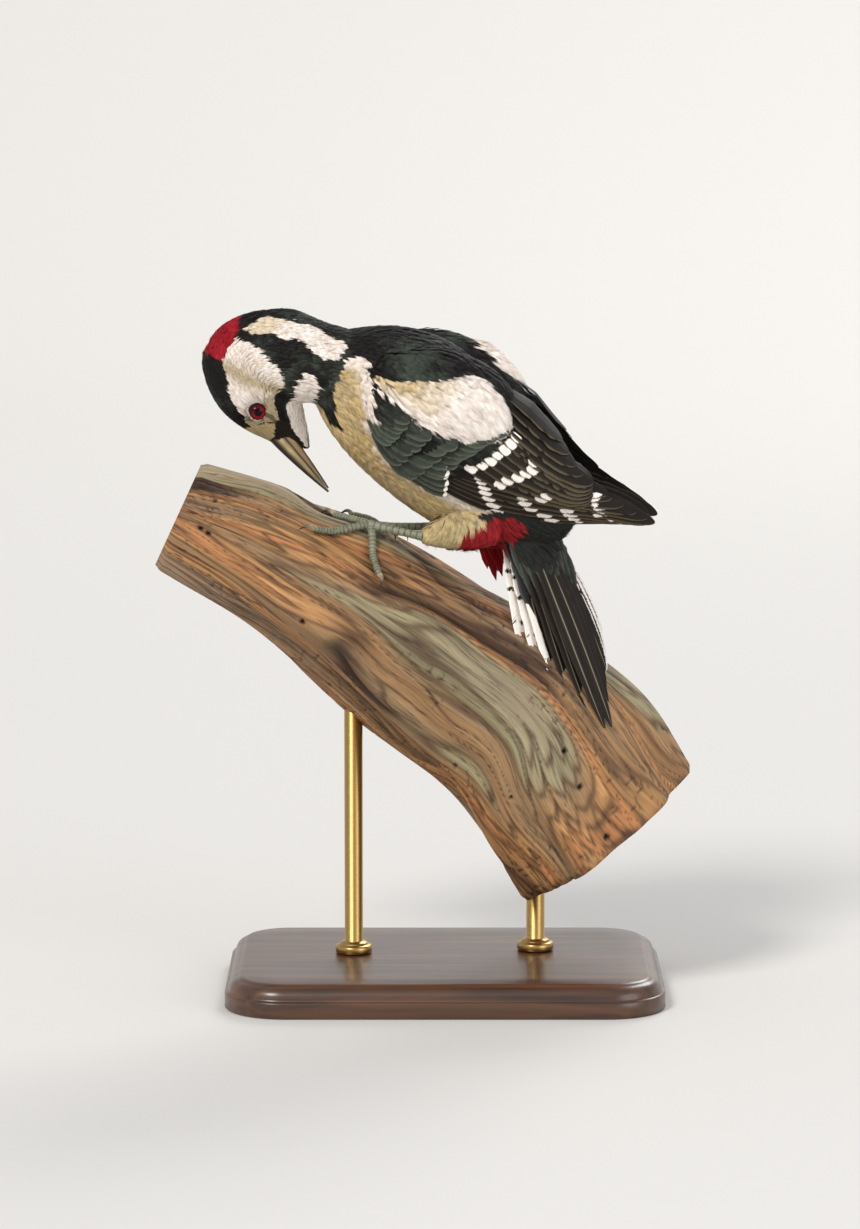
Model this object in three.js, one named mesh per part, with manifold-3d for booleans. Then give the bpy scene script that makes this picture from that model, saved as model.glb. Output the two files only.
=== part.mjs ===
// A great spotted woodpecker (Dendrocopos major, adult male) at life size, gripping a cut length of
// weathered limb and bending down over it. Two rods hold the limb over a flat base.
// Millimetres, +Z up, the bird's left side towards -Y, its head towards -X. The origin is the centre of
// the underside of the base.
import * as THREE from "three";
import { mergeVertices } from "three/addons/utils/BufferGeometryUtils.js";
import Module from "manifold-3d";

const wasm = await Module();
wasm.setup();

// ---------------------------------------------------------------- driving dimensions

const GAP = 0.3; // between nodes that touch
const DEG = Math.PI / 180;

// The torso's own frame: x forwards, y to the bird's left, z to its back.
const BODY_CENTRE = [-5, 0, 243];
const BODY_PITCH = 37 * DEG; // the head end is up
const BODY_ROLL = 12 * DEG; // the back leans to the bird's left

// Torso stations: [x, top, bottom, half width].
const TORSO = [
  [62, 4, -8, 6],
  [58, 13, -14, 14],
  [50, 22, -19.5, 20.5],
  [38, 31, -25.5, 25.5],
  [21, 37.5, -30, 28.5],
  [0, 38.5, -32, 29],
  [-20, 37, -31.5, 27.5],
  [-38, 32.5, -28.5, 24],
  [-52, 26, -23, 18.5],
  [-62, 19, -14, 13],
  [-68, 12.5, -6, 8.5],
  [-72, 6.5, 0, 3],
];
const TORSO_RINGS = 18;
const TORSO_SIDES = 24;

// Neck: [x, y, z, half height, half width] from inside the breast to inside the nape.
const NECK = [
  [-13, 0, 258, 19, 20],
  [-34, -1, 268, 18.5, 20],
  [-54, -2, 274.6, 18.3, 18],
  [-69, -3, 277, 22, 16.5],
  [-82, -3, 278.5, 19.5, 15],
  [-92, -3, 278, 15.5, 12],
  [-99, -3, 276.5, 9.5, 8],
];
const NECK_RINGS = 7;
const NECK_SIDES = 18;

// The head's own frame: x along the bill, y to the bird's left, z to the crown. Its origin is the
// middle of the bill's root.
const BILL_ROOT = [-71.5, -3, 244.4];
const BILL_AIM = [0.65, 0.03, -0.76];
const HEAD_ROLL = 14 * DEG; // the crown leans to the bird's left
const HEAD = [
  [15, -3.6, -7.4, 1.8],
  [11, -1.6, -9, 3],
  [7, 2.4, -11, 4.6],
  [2, 5.2, -13.6, 6.6],
  [-3, 7.4, -16.2, 9],
  [-9, 10, -18, 11.6],
  [-16, 12, -18.6, 13.4],
  [-24, 12.8, -17.8, 14],
  [-32, 11.6, -17, 13.6],
  [-40, 8.4, -15, 11.6],
  [-46, 4, -12.5, 8],
  [-49, -1.5, -8.5, 3.5],
];
const HEAD_RINGS = 14;
const HEAD_SIDES = 20;

// Bill, in the head's frame: a straight chisel.
const BILL_LENGTH = 33;
const BILL_SUNK = 7; // how far its root lies inside the head
const BILL_HEIGHT = 9;
const BILL_WIDTH = 9.2;
const BILL_TIP_HEIGHT = 1.5;
const BILL_TIP_WIDTH = 0.9;
const BILL_TAPER = 1.45; // over 1 keeps it thick to past the middle
const BILL_STATIONS = 9;
const MOUTH_GAP = 0.3;
const LOWER_SHORTER = 1.2; // the lower half ends this much before the upper
const NOSTRIL = { x: 8, y: 2.9, z: 1.5, long: 1.5, high: 0.6 };

// Eye, in the head's frame.
const EYE = { x: -14.4, z: 2.6, out: 9.9, radius: 3.9, sides: 12, rings: 8 };
// The lids are a rise round each eye, sunk a little more than the eye so that their edge shows it.
const LIDS = { radius: 5.05, sunk: 1.2, long: 1.12, sides: 12, rings: 8 };
// Hollow in the face for the bill's root: [x, top, bottom, half width].
const BILL_ROOM = [
  [-BILL_SUNK - 1, 6, -5.5, 5.6],
  [0, 5.6, -4.8, 5.2],
  [17, 3.6, -3.2, 3.6],
];
const BILL_ROOM_RINGS = 6;
const BILL_ROOM_SIDES = 16;

// Surface that the folded wings lie on, in the body's frame: [x, centre z, up, down, half width].
const WING_SHELL = [
  [42, 4, 29, 30, 24],
  [34, 5, 32.5, 33, 27.5],
  [20, 7, 34.5, 38, 31.2],
  [0, 8.5, 34.5, 41.5, 32.4],
  [-20, 10.5, 28.2, 40, 30.5],
  [-40, 14.5, 18.8, 35, 25.5],
  [-60, 19.5, 10, 24, 17.5],
  [-80, 26.3, 5.6, 12.5, 10.5],
  [-100, 31.5, 3, 5.6, 5.5],
];
// Solid middle of each wing, under the roots of the vanes: [x, first and last degrees round].
const CORE_OUTLINE = [
  [32, 50, 90],
  [20, 30, 112],
  [0, 20, 118],
  [-20, 16, 118],
  [-38, 16, 112],
  [-50, 26, 100],
];
const CORE_TOP = [[34, 0.6], [24, 1.3], [4, 1.5], [-16, 0.8], [-50, -0.6]]; // [x, height]
const CORE_BOTTOM = -3;
const CORE_CELLS = [6, 5];
const VANE_THICK = 0.6;
const ROOT_SUNK = 1.2; // depth of a vane's root in the core

// Tiers of the wing, from the lowest to the topmost. Each runs from its outermost feather to its
// innermost: root and tip as [x, degrees round], then width, height above the shell, the share of the
// length in which a vane comes up to that height, sideways bow in degrees, and the rise of the outer
// edge over the inner one, which slips under the next feather.
const WING_TIERS = [
  { name: "primaries", count: 5, width: [9, 10], height: [0, 1.8], run: 0.3, bow: 3, tilt: 1.5,
    root: [[-4, 117], [-24, 100]], tip: [[-84, 122], [-80, 84]], longest: 0.4, reach: 18 },
  { name: "secondaries", count: 5, width: [12, 13.5], height: [2.2, 3.2], run: 0.4, bow: 5, tilt: 1.3,
    root: [[-14, 104], [-14, 60]], tip: [[-72, 92], [-66, 46]] },
  { name: "tertials", count: 3, width: [14, 15], height: [3.6, 4.2], run: 0.5, bow: 4, tilt: 1.2,
    root: [[-12, 58], [-10, 30]], tip: [[-66, 46], [-55, 16]] },
  { name: "primary_coverts", count: 3, width: [8.5, 9], height: [1.4, 2.6], run: 1, bow: 2, tilt: 1.2,
    root: [[12, 116], [6, 106]], tip: [[-27, 119], [-25, 104]] },
  { name: "greater_coverts", count: 5, width: [12, 13.5], height: [3.4, 4], run: 1, bow: 3, tilt: 1.3,
    root: [[6, 103], [8, 60]], tip: [[-29, 99], [-29, 56]] },
  { name: "median_coverts", count: 3, width: [17, 18], height: [2.8, 3.6], run: 1, bow: 2, tilt: 1.3,
    root: [[18, 107], [21, 60]], tip: [[-7, 105], [-8, 58]] },
  { name: "lesser_coverts", count: 3, width: [16, 17], height: [2.6, 3.4], run: 1, bow: 2, tilt: 1.3,
    root: [[25, 106], [31, 62]], tip: [[9, 105], [9, 62]] },
  { name: "scapulars", count: 3, width: [17, 18], height: [4.7, 5], run: 1, bow: -2, tilt: 1.2,
    root: [[26, 68], [14, 30]], tip: [[-14, 80], [-28, 42]] },
];
// Shares of the length where a long feather and a covert have their rows of points.
const VANE_ROWS = [0, 0.4, 0.84, 1];
const COVERT_ROWS = [0, 0.5, 0.88, 1];
const COVERT_LENGTH = 45; // feathers shorter than this are built as coverts

// Tail: an origin inside the rump, the place of the longest tip, and the fan of six pairs, from the
// outermost to the middle one: [length, half spread at the root, half spread at the tip, width].
const TAIL_ROOT = [34, 2, 205];
const TAIL_TIP = [68, -19, 120];
const TAIL_TURN = 52 * DEG; // the upper side faces the bird's left as well as up
const TAIL_PAIRS = [
  [55, 9, 21.5, 9],
  [66, 7.6, 18, 10],
  [73, 6, 14, 10.5],
  [79, 4.4, 9.8, 10.5],
  [87, 2.8, 5.8, 10.5],
  [96, 1.2, 2.1, 10],
];
const TAIL_LAYER = 0.7; // each pair lies this much over the one outside it
const TAIL_ROOF = 0.27; // the halves slope down from the middle by this share
const TAIL_TILT = 0.19; // and each feather by this, so that its outer edge stands clear
const TAIL_ARCH = 1.2;
const TAIL_COVERTS = { count: 4, length: 34, width: 13, spread: 9, lift: 5.4 };
// The flesh of the rump that they grow from: [x, top, bottom, half width] in the tail's frame.
const TAIL_STUMP = [
  [-8, 7.5, -9, 13.5],
  [6, 7.5, -9.5, 14],
  [16, 6, -9, 12.5],
  [27, 2.5, -4.5, 7],
];
const STUMP_RINGS = 4;
const STUMP_SIDES = 14;

// Legs. Left is towards -Y. The knee end lies inside the belly.
const HIPS = { left: [20, -10, 207], right: [22, 13, 207] };
const HEELS = { left: [-9, -19.5, 201.5], right: [-4, 21, 201] };
const THIGH_RADII = [10.5, 10.4, 9.2, 6.8, 3.8];
const THIGH_RINGS = 7;
const THIGH_SIDES = 14;
const SHANK_RADIUS = 1.75;
const SCUTES = 8;
const SCUTE_RISE = 0.22;
const SHANK_SIDES = 7;
const SHANK_STEPS_A_SCUTE = 2;
// The shank is thicker at its ends: [share of its length, share of its radius added].
const SHANK_SWELL = [[0, 0.25], [0.2, 0], [0.72, 0], [1, 0.35]];

// Where each foot stands on the limb: share of the limb's length, degrees round from its top towards
// the bird's left.
const FEET = { left: [0.302, 20], right: [0.33, -38] };
// Toes: along the limb in mm (up it is negative), degrees round it away from the other foot, length of
// claw, radius. Two point forwards and two back.
const TOES = [
  { name: "1", along: 8, round: -8, claw: 6.5, radius: 1.3, joints: 2 },
  { name: "2", along: -13, round: -17, claw: 7.5, radius: 1.5, joints: 3 },
  { name: "3", along: -18, round: 27, claw: 8.5, radius: 1.6, joints: 4 },
  { name: "4", along: 12, round: 36, claw: 8.5, radius: 1.6, joints: 4 },
];
const FOOT_LIFT = 3.3; // of the joint of the toes, over the wood
const FOOT_JOINT = 2.4;
const TOE_SIDES = 6;
const TOE_STEPS = 6;
const CLAW_START = 0.7; // clear of the toe's end
const CLAW_STEPS = 5;
const CLAW_SIDES = 6;

// Limb: [x, y, z, radius] along its middle, from the upper cut end to the lower one.
const LIMB = [
  [-116, 2, 208, 24],
  [-62, 2, 183, 32],
  [-14, 5, 150, 38],
  [34, 9, 112, 43],
  [70, 10, 66, 46],
];
const LIMB_RINGS = 16;
const LIMB_SIDES = 30;
// Ridges of the weathered grain: [count round the limb, height as a share of radius, twist, phase].
const RIDGES = [
  [3, 0.035, 1.3, 0.6],
  [7, 0.045, -1.1, 1.9],
  [12, 0.022, -2.2, 0.2],
];
// Swellings and hollows: share of length, degrees round, height, share of length and degrees of reach.
const LIMB_FORMS = [
  { at: [0.23, 4], rise: -6, reach: [0.05, 17] }, // crevice under the bill
  { at: [0.5, -80], rise: 13, reach: [0.13, 30] }, // root of a lost upright stem
  { at: [0.86, -20], rise: 5, reach: [0.1, 24] },
  { at: [0.12, 70], rise: 3, reach: [0.08, 26] },
  { at: [0.72, 150], rise: -4, reach: [0.12, 30] },
];

// Stand.
const BASE = { long: 190, wide: 132, high: 14, corner: 26, bevel: 1.6, cornerSteps: 5 };
const RODS = [
  { name: "stand_rod_left", x: -40, y: 5, top: 165 },
  { name: "stand_rod_right", x: 40, y: 11, top: 100 },
];
const ROD_RADIUS = 4;
const ROD_SIDES = 16;
const COLLAR = { radius: 8, high: 5 };

const COLOURS = {
  black: [0x14161a, 0.6],
  torso: [0xcdb98c, 0.85],
  head: [0xe9e0d2, 0.8],
  neck: [0x20221f, 0.75],
  tail: [0x15151a, 0.6],
  eye: [0x8c1c1c, 0.1],
  bill: [0x4a463c, 0.4],
  leg: [0x7f8a7c, 0.6],
  claw: [0x4f463a, 0.4],
  limb: [0x9a6f47, 0.85],
  base: [0x3b2a1e, 0.4],
  rod: [0xb08d57, 0.3],
};

// ---------------------------------------------------------------- small helpers

const vector = (a) => new THREE.Vector3(...a);
const mix = (a, b, t) => a + (b - a) * t;
const steps = (n) => Array.from({ length: n + 1 }, (_, i) => i / n);

// Smooth value of every column of a table of stations at x. The first column is x, and it falls.
function stationAt(table, x) {
  const falls = table[0][0] > table[table.length - 1][0];
  const key = (row) => (falls ? -row[0] : row[0]);
  const want = falls ? -x : x;
  const last = table.length - 1;
  let i = 0;
  while (i < last - 1 && want > key(table[i + 1])) i += 1;
  const [a, b] = [table[i], table[i + 1]];
  const span = key(b) - key(a);
  const t = Math.min(1, Math.max(0, (want - key(a)) / span));
  return a.slice(1).map((_, k) => {
    const c = k + 1;
    const slope = (j) => {
      const lo = table[Math.max(0, j - 1)];
      const hi = table[Math.min(last, j + 1)];
      return (hi[c] - lo[c]) / (key(hi) - key(lo));
    };
    const t2 = t * t;
    const t3 = t2 * t;
    return (
      (2 * t3 - 3 * t2 + 1) * a[c] +
      (t3 - 2 * t2 + t) * span * slope(i) +
      (3 * t2 - 2 * t3) * b[c] +
      (t3 - t2) * span * slope(i + 1)
    );
  });
}

// A frame in the world: an origin and three axes.
function frameOf(origin, x, y, z) {
  return new THREE.Matrix4().makeBasis(x, y, z).setPosition(vector(origin));
}

function bodyFrame() {
  const forward = new THREE.Vector3(-Math.cos(BODY_PITCH), 0, Math.sin(BODY_PITCH));
  const left = new THREE.Vector3(0, -1, 0);
  const up = forward.clone().cross(left);
  left.applyAxisAngle(forward, -BODY_ROLL);
  up.applyAxisAngle(forward, -BODY_ROLL);
  return frameOf(BODY_CENTRE, forward, left, up);
}

function headFrame() {
  const forward = vector(BILL_AIM).normalize();
  const left = new THREE.Vector3(0, -1, 0);
  left.addScaledVector(forward, -left.dot(forward)).normalize();
  const up = forward.clone().cross(left);
  left.applyAxisAngle(forward, -HEAD_ROLL);
  up.applyAxisAngle(forward, -HEAD_ROLL);
  return frameOf(BILL_ROOT, forward, left, up);
}

const BODY = bodyFrame();
const SKULL = headFrame();
const inBody = (x, y, z) => new THREE.Vector3(x, y, z).applyMatrix4(BODY);
const inHead = (x, y, z) => new THREE.Vector3(x, y, z).applyMatrix4(SKULL);

// ---------------------------------------------------------------- solids

// Closed surface through rings of equally many points, with a flat fan on each end.
function loft(rings) {
  const n = rings[0].length;
  const points = rings.flat();
  const faces = [];
  for (let i = 0; i + 1 < rings.length; i += 1) {
    for (let j = 0; j < n; j += 1) {
      const k = (j + 1) % n;
      faces.push(i * n + j, i * n + k, (i + 1) * n + k);
      faces.push(i * n + j, (i + 1) * n + k, (i + 1) * n + j);
    }
  }
  [0, rings.length - 1].forEach((i) => {
    const middle = new THREE.Vector3();
    rings[i].forEach((p) => middle.addScaledVector(p, 1 / n));
    const m = points.push(middle) - 1;
    for (let j = 0; j < n; j += 1) {
      const pair = [i * n + j, i * n + ((j + 1) % n)];
      faces.push(m, ...(i === 0 ? pair.reverse() : pair));
    }
  });
  return new THREE.BufferGeometry().setFromPoints(points).setIndex(faces);
}

// Closed sheet between two grids of points that match row by row.
function slab(outer, inner) {
  const rows = outer.length;
  const columns = outer[0].length;
  const points = [...outer.flat(), ...inner.flat()];
  const half = rows * columns;
  const at = (i, j) => i * columns + j;
  const faces = [];
  const quad = (a, b, c, d) => faces.push(a, b, c, a, c, d);
  for (let i = 0; i + 1 < rows; i += 1) {
    for (let j = 0; j + 1 < columns; j += 1) {
      quad(at(i, j), at(i, j + 1), at(i + 1, j + 1), at(i + 1, j));
      faces.push(half + at(i, j), half + at(i + 1, j + 1), half + at(i, j + 1));
      faces.push(half + at(i, j), half + at(i + 1, j), half + at(i + 1, j + 1));
    }
  }
  const rim = (a, b) => quad(b, a, half + a, half + b);
  for (let j = 0; j + 1 < columns; j += 1) {
    rim(at(0, j), at(0, j + 1));
    rim(at(rows - 1, j + 1), at(rows - 1, j));
  }
  for (let i = 0; i + 1 < rows; i += 1) {
    rim(at(i + 1, 0), at(i, 0));
    rim(at(i, columns - 1), at(i + 1, columns - 1));
  }
  return new THREE.BufferGeometry().setFromPoints(points).setIndex(faces);
}

// A closed three.js geometry as a solid for joining and cutting.
function solid(geometry) {
  const bare = new THREE.BufferGeometry();
  bare.setAttribute("position", geometry.getAttribute("position"));
  if (geometry.index) bare.setIndex(geometry.index);
  const merged = mergeVertices(bare, 1e-4);
  const build = (triVerts) =>
    new wasm.Manifold(
      new wasm.Mesh({
        numProp: 3,
        vertProperties: new Float32Array(merged.attributes.position.array),
        triVerts,
      }),
    );
  const faces = new Uint32Array(merged.index.array);
  const made = build(faces);
  if (made.volume() >= 0) return made;
  for (let i = 0; i < faces.length; i += 3) {
    [faces[i + 1], faces[i + 2]] = [faces[i + 2], faces[i + 1]];
  }
  return build(faces);
}

const join = (solids) => solids.reduce((all, s) => all.add(s));

// The largest closed surface of a solid, which drops scraps and sealed hollows.
function largest(made) {
  return made.decompose().reduce((a, b) => (b.volume() > a.volume() ? b : a));
}

function geometryOf(made) {
  const { numProp, vertProperties, triVerts, numVert } = made.getMesh();
  const position = new Float32Array(numVert * 3);
  for (let i = 0; i < numVert; i += 1) {
    position.set(vertProperties.subarray(i * numProp, i * numProp + 3), i * 3);
  }
  const geometry = new THREE.BufferGeometry();
  geometry.setAttribute("position", new THREE.BufferAttribute(position, 3));
  geometry.setIndex(new THREE.BufferAttribute(triVerts, 1));
  geometry.computeVertexNormals();
  return geometry;
}

const bird = new THREE.Group();

// Adds a solid to the model as one named mesh.
function addNode(name, made, colour, group = bird) {
  const [hex, roughness] = COLOURS[colour];
  const material = new THREE.MeshStandardMaterial({
    color: hex,
    roughness,
    metalness: colour === "rod" ? 0.9 : 0,
  });
  const mesh = new THREE.Mesh(geometryOf(largest(made)), material);
  mesh.name = name;
  group.add(mesh);
}

// Rings of an oval loft: each station gives top, bottom and half width at x in a frame.
function ovalLoft(table, count, sides, place, grow) {
  const [first, last] = [table[0][0], table[table.length - 1][0]];
  const rings = steps(count).map((t) => {
    const x = mix(first, last, t);
    const [top, bottom, half] = stationAt(table, x);
    const middle = (top + bottom) / 2;
    const high = (top - bottom) / 2 + grow;
    const end = x === first ? grow : x === last ? -grow : 0;
    return steps(sides).slice(1).map((turn) => {
      const a = turn * 2 * Math.PI;
      return place(x + end, (half + grow) * Math.sin(a), middle + high * Math.cos(a));
    });
  });
  return solid(loft(rings));
}

// A tube of oval section along a smooth curve. Each row is [x, y, z, half height, half width].
function ovalTube(rows, count, sides, side, grow) {
  const path = new THREE.CatmullRomCurve3(rows.map((r) => new THREE.Vector3(r[0], r[1], r[2])));
  const radii = new THREE.CatmullRomCurve3(rows.map((r) => new THREE.Vector3(r[3], r[4], 0)));
  const rings = steps(count).map((t) => {
    const ahead = path.getTangent(t);
    const across = side.clone().addScaledVector(ahead, -side.dot(ahead)).normalize();
    const above = ahead.clone().cross(across);
    const middle = path.getPoint(t);
    const { x: high, y: wide } = radii.getPoint(t);
    return steps(sides).slice(1).map((turn) => {
      const a = turn * 2 * Math.PI;
      return middle.clone()
        .addScaledVector(above, (high + grow) * Math.cos(a))
        .addScaledVector(across, (wide + grow) * Math.sin(a));
    });
  });
  return solid(loft(rings));
}

const row = (p, high, wide = high) => [p.x, p.y, p.z, high, wide];

// ---------------------------------------------------------------- flesh

const LEFT = new THREE.Vector3(0, -1, 0);
const torso = (grow) => ovalLoft(TORSO, TORSO_RINGS, TORSO_SIDES, inBody, grow);
const neck = (grow) => ovalTube(NECK, NECK_RINGS, NECK_SIDES, LEFT, grow);
const headOval = (grow) => ovalLoft(HEAD, HEAD_RINGS, HEAD_SIDES, inHead, grow);

function thigh(side, grow) {
  const [from, to] = [vector(HIPS[side]), vector(HEELS[side])];
  const rows = THIGH_RADII.map((radius, i) =>
    row(from.clone().lerp(to, i / (THIGH_RADII.length - 1)), radius));
  return ovalTube(rows, THIGH_RINGS, THIGH_SIDES, LEFT, grow);
}

// ---------------------------------------------------------------- head

function eyeball(sign, grow) {
  const ball = new THREE.SphereGeometry(EYE.radius + grow, EYE.sides, EYE.rings);
  const middle = inHead(EYE.x, sign * EYE.out, EYE.z);
  return solid(ball.translate(middle.x, middle.y, middle.z));
}

function lids(sign) {
  const rise = new THREE.SphereGeometry(LIDS.radius, LIDS.sides, LIDS.rings).scale(LIDS.long, 1, 1);
  rise.translate(EYE.x, sign * (EYE.out - LIDS.sunk), EYE.z);
  return solid(rise.applyMatrix4(SKULL));
}

// One half of the bill. Its section is a roof over a flat mouth line.
function billHalf(upper) {
  const sign = upper ? 1 : -1;
  const length = BILL_LENGTH - (upper ? 0 : LOWER_SHORTER);
  const share = upper ? 0.56 : 0.44;
  const rings = steps(BILL_STATIONS).map((t) => {
    const x = mix(-BILL_SUNK, length, t);
    const taper = Math.max(0, x) / length;
    const high = mix(BILL_HEIGHT, BILL_TIP_HEIGHT, taper ** BILL_TAPER) * share;
    const wide = mix(BILL_WIDTH, BILL_TIP_WIDTH, taper) / 2;
    const mouth = (sign * MOUTH_GAP) / 2;
    const section = [
      [-wide, 0], [-wide * 0.92, 0.42], [-wide * 0.5, 0.8], [-wide * 0.12, 1],
      [wide * 0.12, 1], [wide * 0.5, 0.8], [wide * 0.92, 0.42], [wide, 0],
    ];
    return section.map(([y, z]) => inHead(x, y, mouth + sign * z * high));
  });
  return solid(loft(rings));
}

function nostril(sign) {
  const pit = new THREE.SphereGeometry(1, 8, 5);
  pit.scale(NOSTRIL.long, 1.1, NOSTRIL.high);
  pit.translate(NOSTRIL.x, sign * NOSTRIL.y, NOSTRIL.z);
  return solid(pit.applyMatrix4(SKULL));
}

function addHead() {
  const sockets = join([eyeball(1, GAP), eyeball(-1, GAP)]);
  const skull = join([headOval(0), lids(1), lids(-1)]);
  const billRoom = ovalLoft(BILL_ROOM, BILL_ROOM_RINGS, BILL_ROOM_SIDES, inHead, 0);
  addNode("head", skull.subtract(sockets).subtract(billRoom), "head");
  const nostrils = join([nostril(1), nostril(-1)]);
  addNode("bill_upper", billHalf(true).subtract(nostrils), "bill");
  addNode("bill_lower", billHalf(false), "bill");
  addNode("eye_left", eyeball(1, 0), "eye");
  addNode("eye_right", eyeball(-1, 0), "eye");
}

// ---------------------------------------------------------------- feathers

// Width of a feather along its length, as a share of its widest: narrow root, full middle, round tip.
function vaneShare(t, roundness) {
  const opening = Math.min(1, 0.5 + t * 1.4);
  const closing = Math.sqrt(Math.max(0, 1 - Math.max(0, (t - roundness) / (1 - roundness)) ** 2));
  return Math.max(0.16, opening * closing);
}

// A feather as a thin closed vane. line(t) gives its middle line with the directions across and out,
// and tilt is the rise of the edge against the across direction over the other one.
function vane(line, width, tilt, rows = VANE_ROWS, roundness = 0.7) {
  const face = (lift) => rows.map((t) => {
    const { middle, across, out } = line(t);
    const half = (width / 2) * vaneShare(t, roundness);
    return [-1, 1].map((side) => middle.clone()
      .addScaledVector(across, side * half)
      .addScaledVector(out, lift - (side * tilt * half) / width));
  });
  return solid(slab(face(VANE_THICK / 2), face(-VANE_THICK / 2)));
}

// A point of the wing's shell in the body's frame: x, degrees round from the back, height above it.
function onShell(sign, x, degrees, height) {
  const [middle, up, down, half] = stationAt(WING_SHELL, x);
  const a = degrees * DEG;
  const high = (Math.cos(a) > 0 ? up : down) + height;
  return inBody(x, sign * (half + height) * Math.sin(a), middle + high * Math.cos(a));
}

// Middle line of a wing feather on the shell, from its root in the core to its tip.
function wingLine(sign, root, tip, { bow, run }, top) {
  const sunk = stationAt(CORE_TOP, root[0])[0] - ROOT_SUNK;
  const at = (t, lift = 0) => onShell(
    sign,
    mix(root[0], tip[0], t),
    mix(root[1], tip[1], t) + bow * Math.sin(Math.PI * t),
    mix(sunk, top, Math.min(1, t / run)) + lift,
  );
  return (t) => directions(at, t);
}

// Place and directions at t of a line that at(t, lift) gives.
function directions(at, t) {
  const middle = at(t);
  const ahead = at(Math.min(1, t + 0.05)).sub(at(Math.max(0, t - 0.05))).normalize();
  const out = at(t, 1).sub(middle).normalize();
  return { middle, across: out.clone().cross(ahead).normalize(), out };
}

function tierVanes(sign, tier) {
  return steps(tier.count - 1).map((share) => {
    const between = (ends) => ends[0].map((v, k) => mix(v, ends[1][k], share));
    const [root, tip] = [between(tier.root), between(tier.tip)];
    if (tier.reach) tip[0] -= tier.reach * Math.max(0, 1 - Math.abs(share - tier.longest) * 2);
    const line = wingLine(sign, root, tip, tier, mix(...tier.height, share));
    const rows = root[0] - tip[0] < COVERT_LENGTH ? COVERT_ROWS : VANE_ROWS;
    return vane(line, mix(...tier.width, share), sign * tier.tilt, rows);
  });
}

// Closed sheet over a part of the shell. Outline rows are [x, first and last degrees round].
function shellSheet(sign, outline, cells, top, bottom) {
  const face = (height) => steps(cells[0]).map((i) => {
    const x = mix(outline[0][0], outline[outline.length - 1][0], i);
    const [from, to] = stationAt(outline, x);
    return steps(cells[1]).map((j) => onShell(sign, x, mix(from, to, j), height(x)));
  });
  return solid(slab(face(top), face(bottom)));
}

const wingCore = (sign) =>
  shellSheet(sign, CORE_OUTLINE, CORE_CELLS, (x) => stationAt(CORE_TOP, x)[0], () => CORE_BOTTOM);

function wing(sign) {
  return join([wingCore(sign), ...WING_TIERS.flatMap((tier) => tierVanes(sign, tier))]);
}

// ---------------------------------------------------------------- tail

function tailFrame() {
  const along = vector(TAIL_TIP).sub(vector(TAIL_ROOT)).normalize();
  const left = LEFT.clone().addScaledVector(along, -LEFT.dot(along)).normalize();
  left.applyAxisAngle(along, TAIL_TURN);
  const up = left.clone().cross(along);
  return frameOf(TAIL_ROOT, along, left, up);
}
const TAIL = tailFrame();
const inTail = (x, y, z) => new THREE.Vector3(x, y, z).applyMatrix4(TAIL);

// Middle line of a tail feather, arched a little, on the side of the roof that the tail makes.
function tailLine(length, from, to, height) {
  const at = (t, lift = 0) => {
    const aside = mix(from, to, t);
    const rise = TAIL_ARCH * Math.sin(Math.PI * t) - TAIL_ROOF * Math.abs(aside);
    return inTail(length * t, aside, height + rise + lift);
  };
  return (t) => directions(at, t);
}

function tail() {
  const feathers = TAIL_PAIRS.flatMap(([length, from, to, width], pair) =>
    [-1, 1].map((side) => {
      const line = tailLine(length, side * from, side * to, pair * TAIL_LAYER + 0.1 * side);
      return vane(line, width, side * TAIL_TILT * width, VANE_ROWS, 0.4);
    }));
  const coverts = steps(TAIL_COVERTS.count - 1).map((share) => {
    const place = mix(-1, 1, share) * TAIL_COVERTS.spread;
    const line = tailLine(TAIL_COVERTS.length, place * 0.7, place, TAIL_COVERTS.lift);
    return vane(line, TAIL_COVERTS.width, Math.sign(place) * TAIL_TILT * TAIL_COVERTS.width, COVERT_ROWS);
  });
  const stump = ovalLoft(TAIL_STUMP, STUMP_RINGS, STUMP_SIDES, inTail, 0);
  return join([stump, ...feathers, ...coverts]);
}

// ---------------------------------------------------------------- limb

const limbPath = new THREE.CatmullRomCurve3(LIMB.map((r) => new THREE.Vector3(r[0], r[1], r[2])));
const limbLength = limbPath.getLength();
const limbRadius = new THREE.CatmullRomCurve3(LIMB.map((r) => new THREE.Vector3(r[3], 0, 0)));

function limbRise(share, turn) {
  const ridges = RIDGES.reduce(
    (sum, [count, high, twist, phase]) =>
      sum + high * Math.sin(count * turn + twist * 2 * share * Math.PI + phase), 0);
  const forms = LIMB_FORMS.reduce((sum, { at, rise, reach }) => {
    const gap = Math.atan2(Math.sin(turn - at[1] * DEG), Math.cos(turn - at[1] * DEG)) / DEG;
    return sum + rise * Math.exp(-(((share - at[0]) / reach[0]) ** 2) - (gap / reach[1]) ** 2);
  }, 0);
  return [1 + ridges, forms];
}

// A point at a share of the limb's length, an angle round from its top towards the bird's left, and
// a height above the wood.
function onLimb(share, turn, height = 0) {
  const middle = limbPath.getPointAt(share);
  const ahead = limbPath.getTangentAt(share);
  const left = LEFT.clone().addScaledVector(ahead, -LEFT.dot(ahead)).normalize();
  const up = left.clone().cross(ahead);
  const [scale, extra] = limbRise(share, turn);
  const thick = limbRadius.getPoint(limbPath.getUtoTmapping(share)).x;
  const radius = thick * scale + extra + height;
  return middle
    .addScaledVector(up, radius * Math.cos(turn))
    .addScaledVector(left, radius * Math.sin(turn));
}

function limb(grow) {
  const rings = steps(LIMB_RINGS).map((share) =>
    steps(LIMB_SIDES).slice(1).map((turn) => onLimb(share, turn * 2 * Math.PI, grow)));
  return solid(loft(rings));
}

// ---------------------------------------------------------------- legs and feet

function footPlace(side) {
  const [share, degrees] = FEET[side];
  return { share, turn: degrees * DEG };
}

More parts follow.
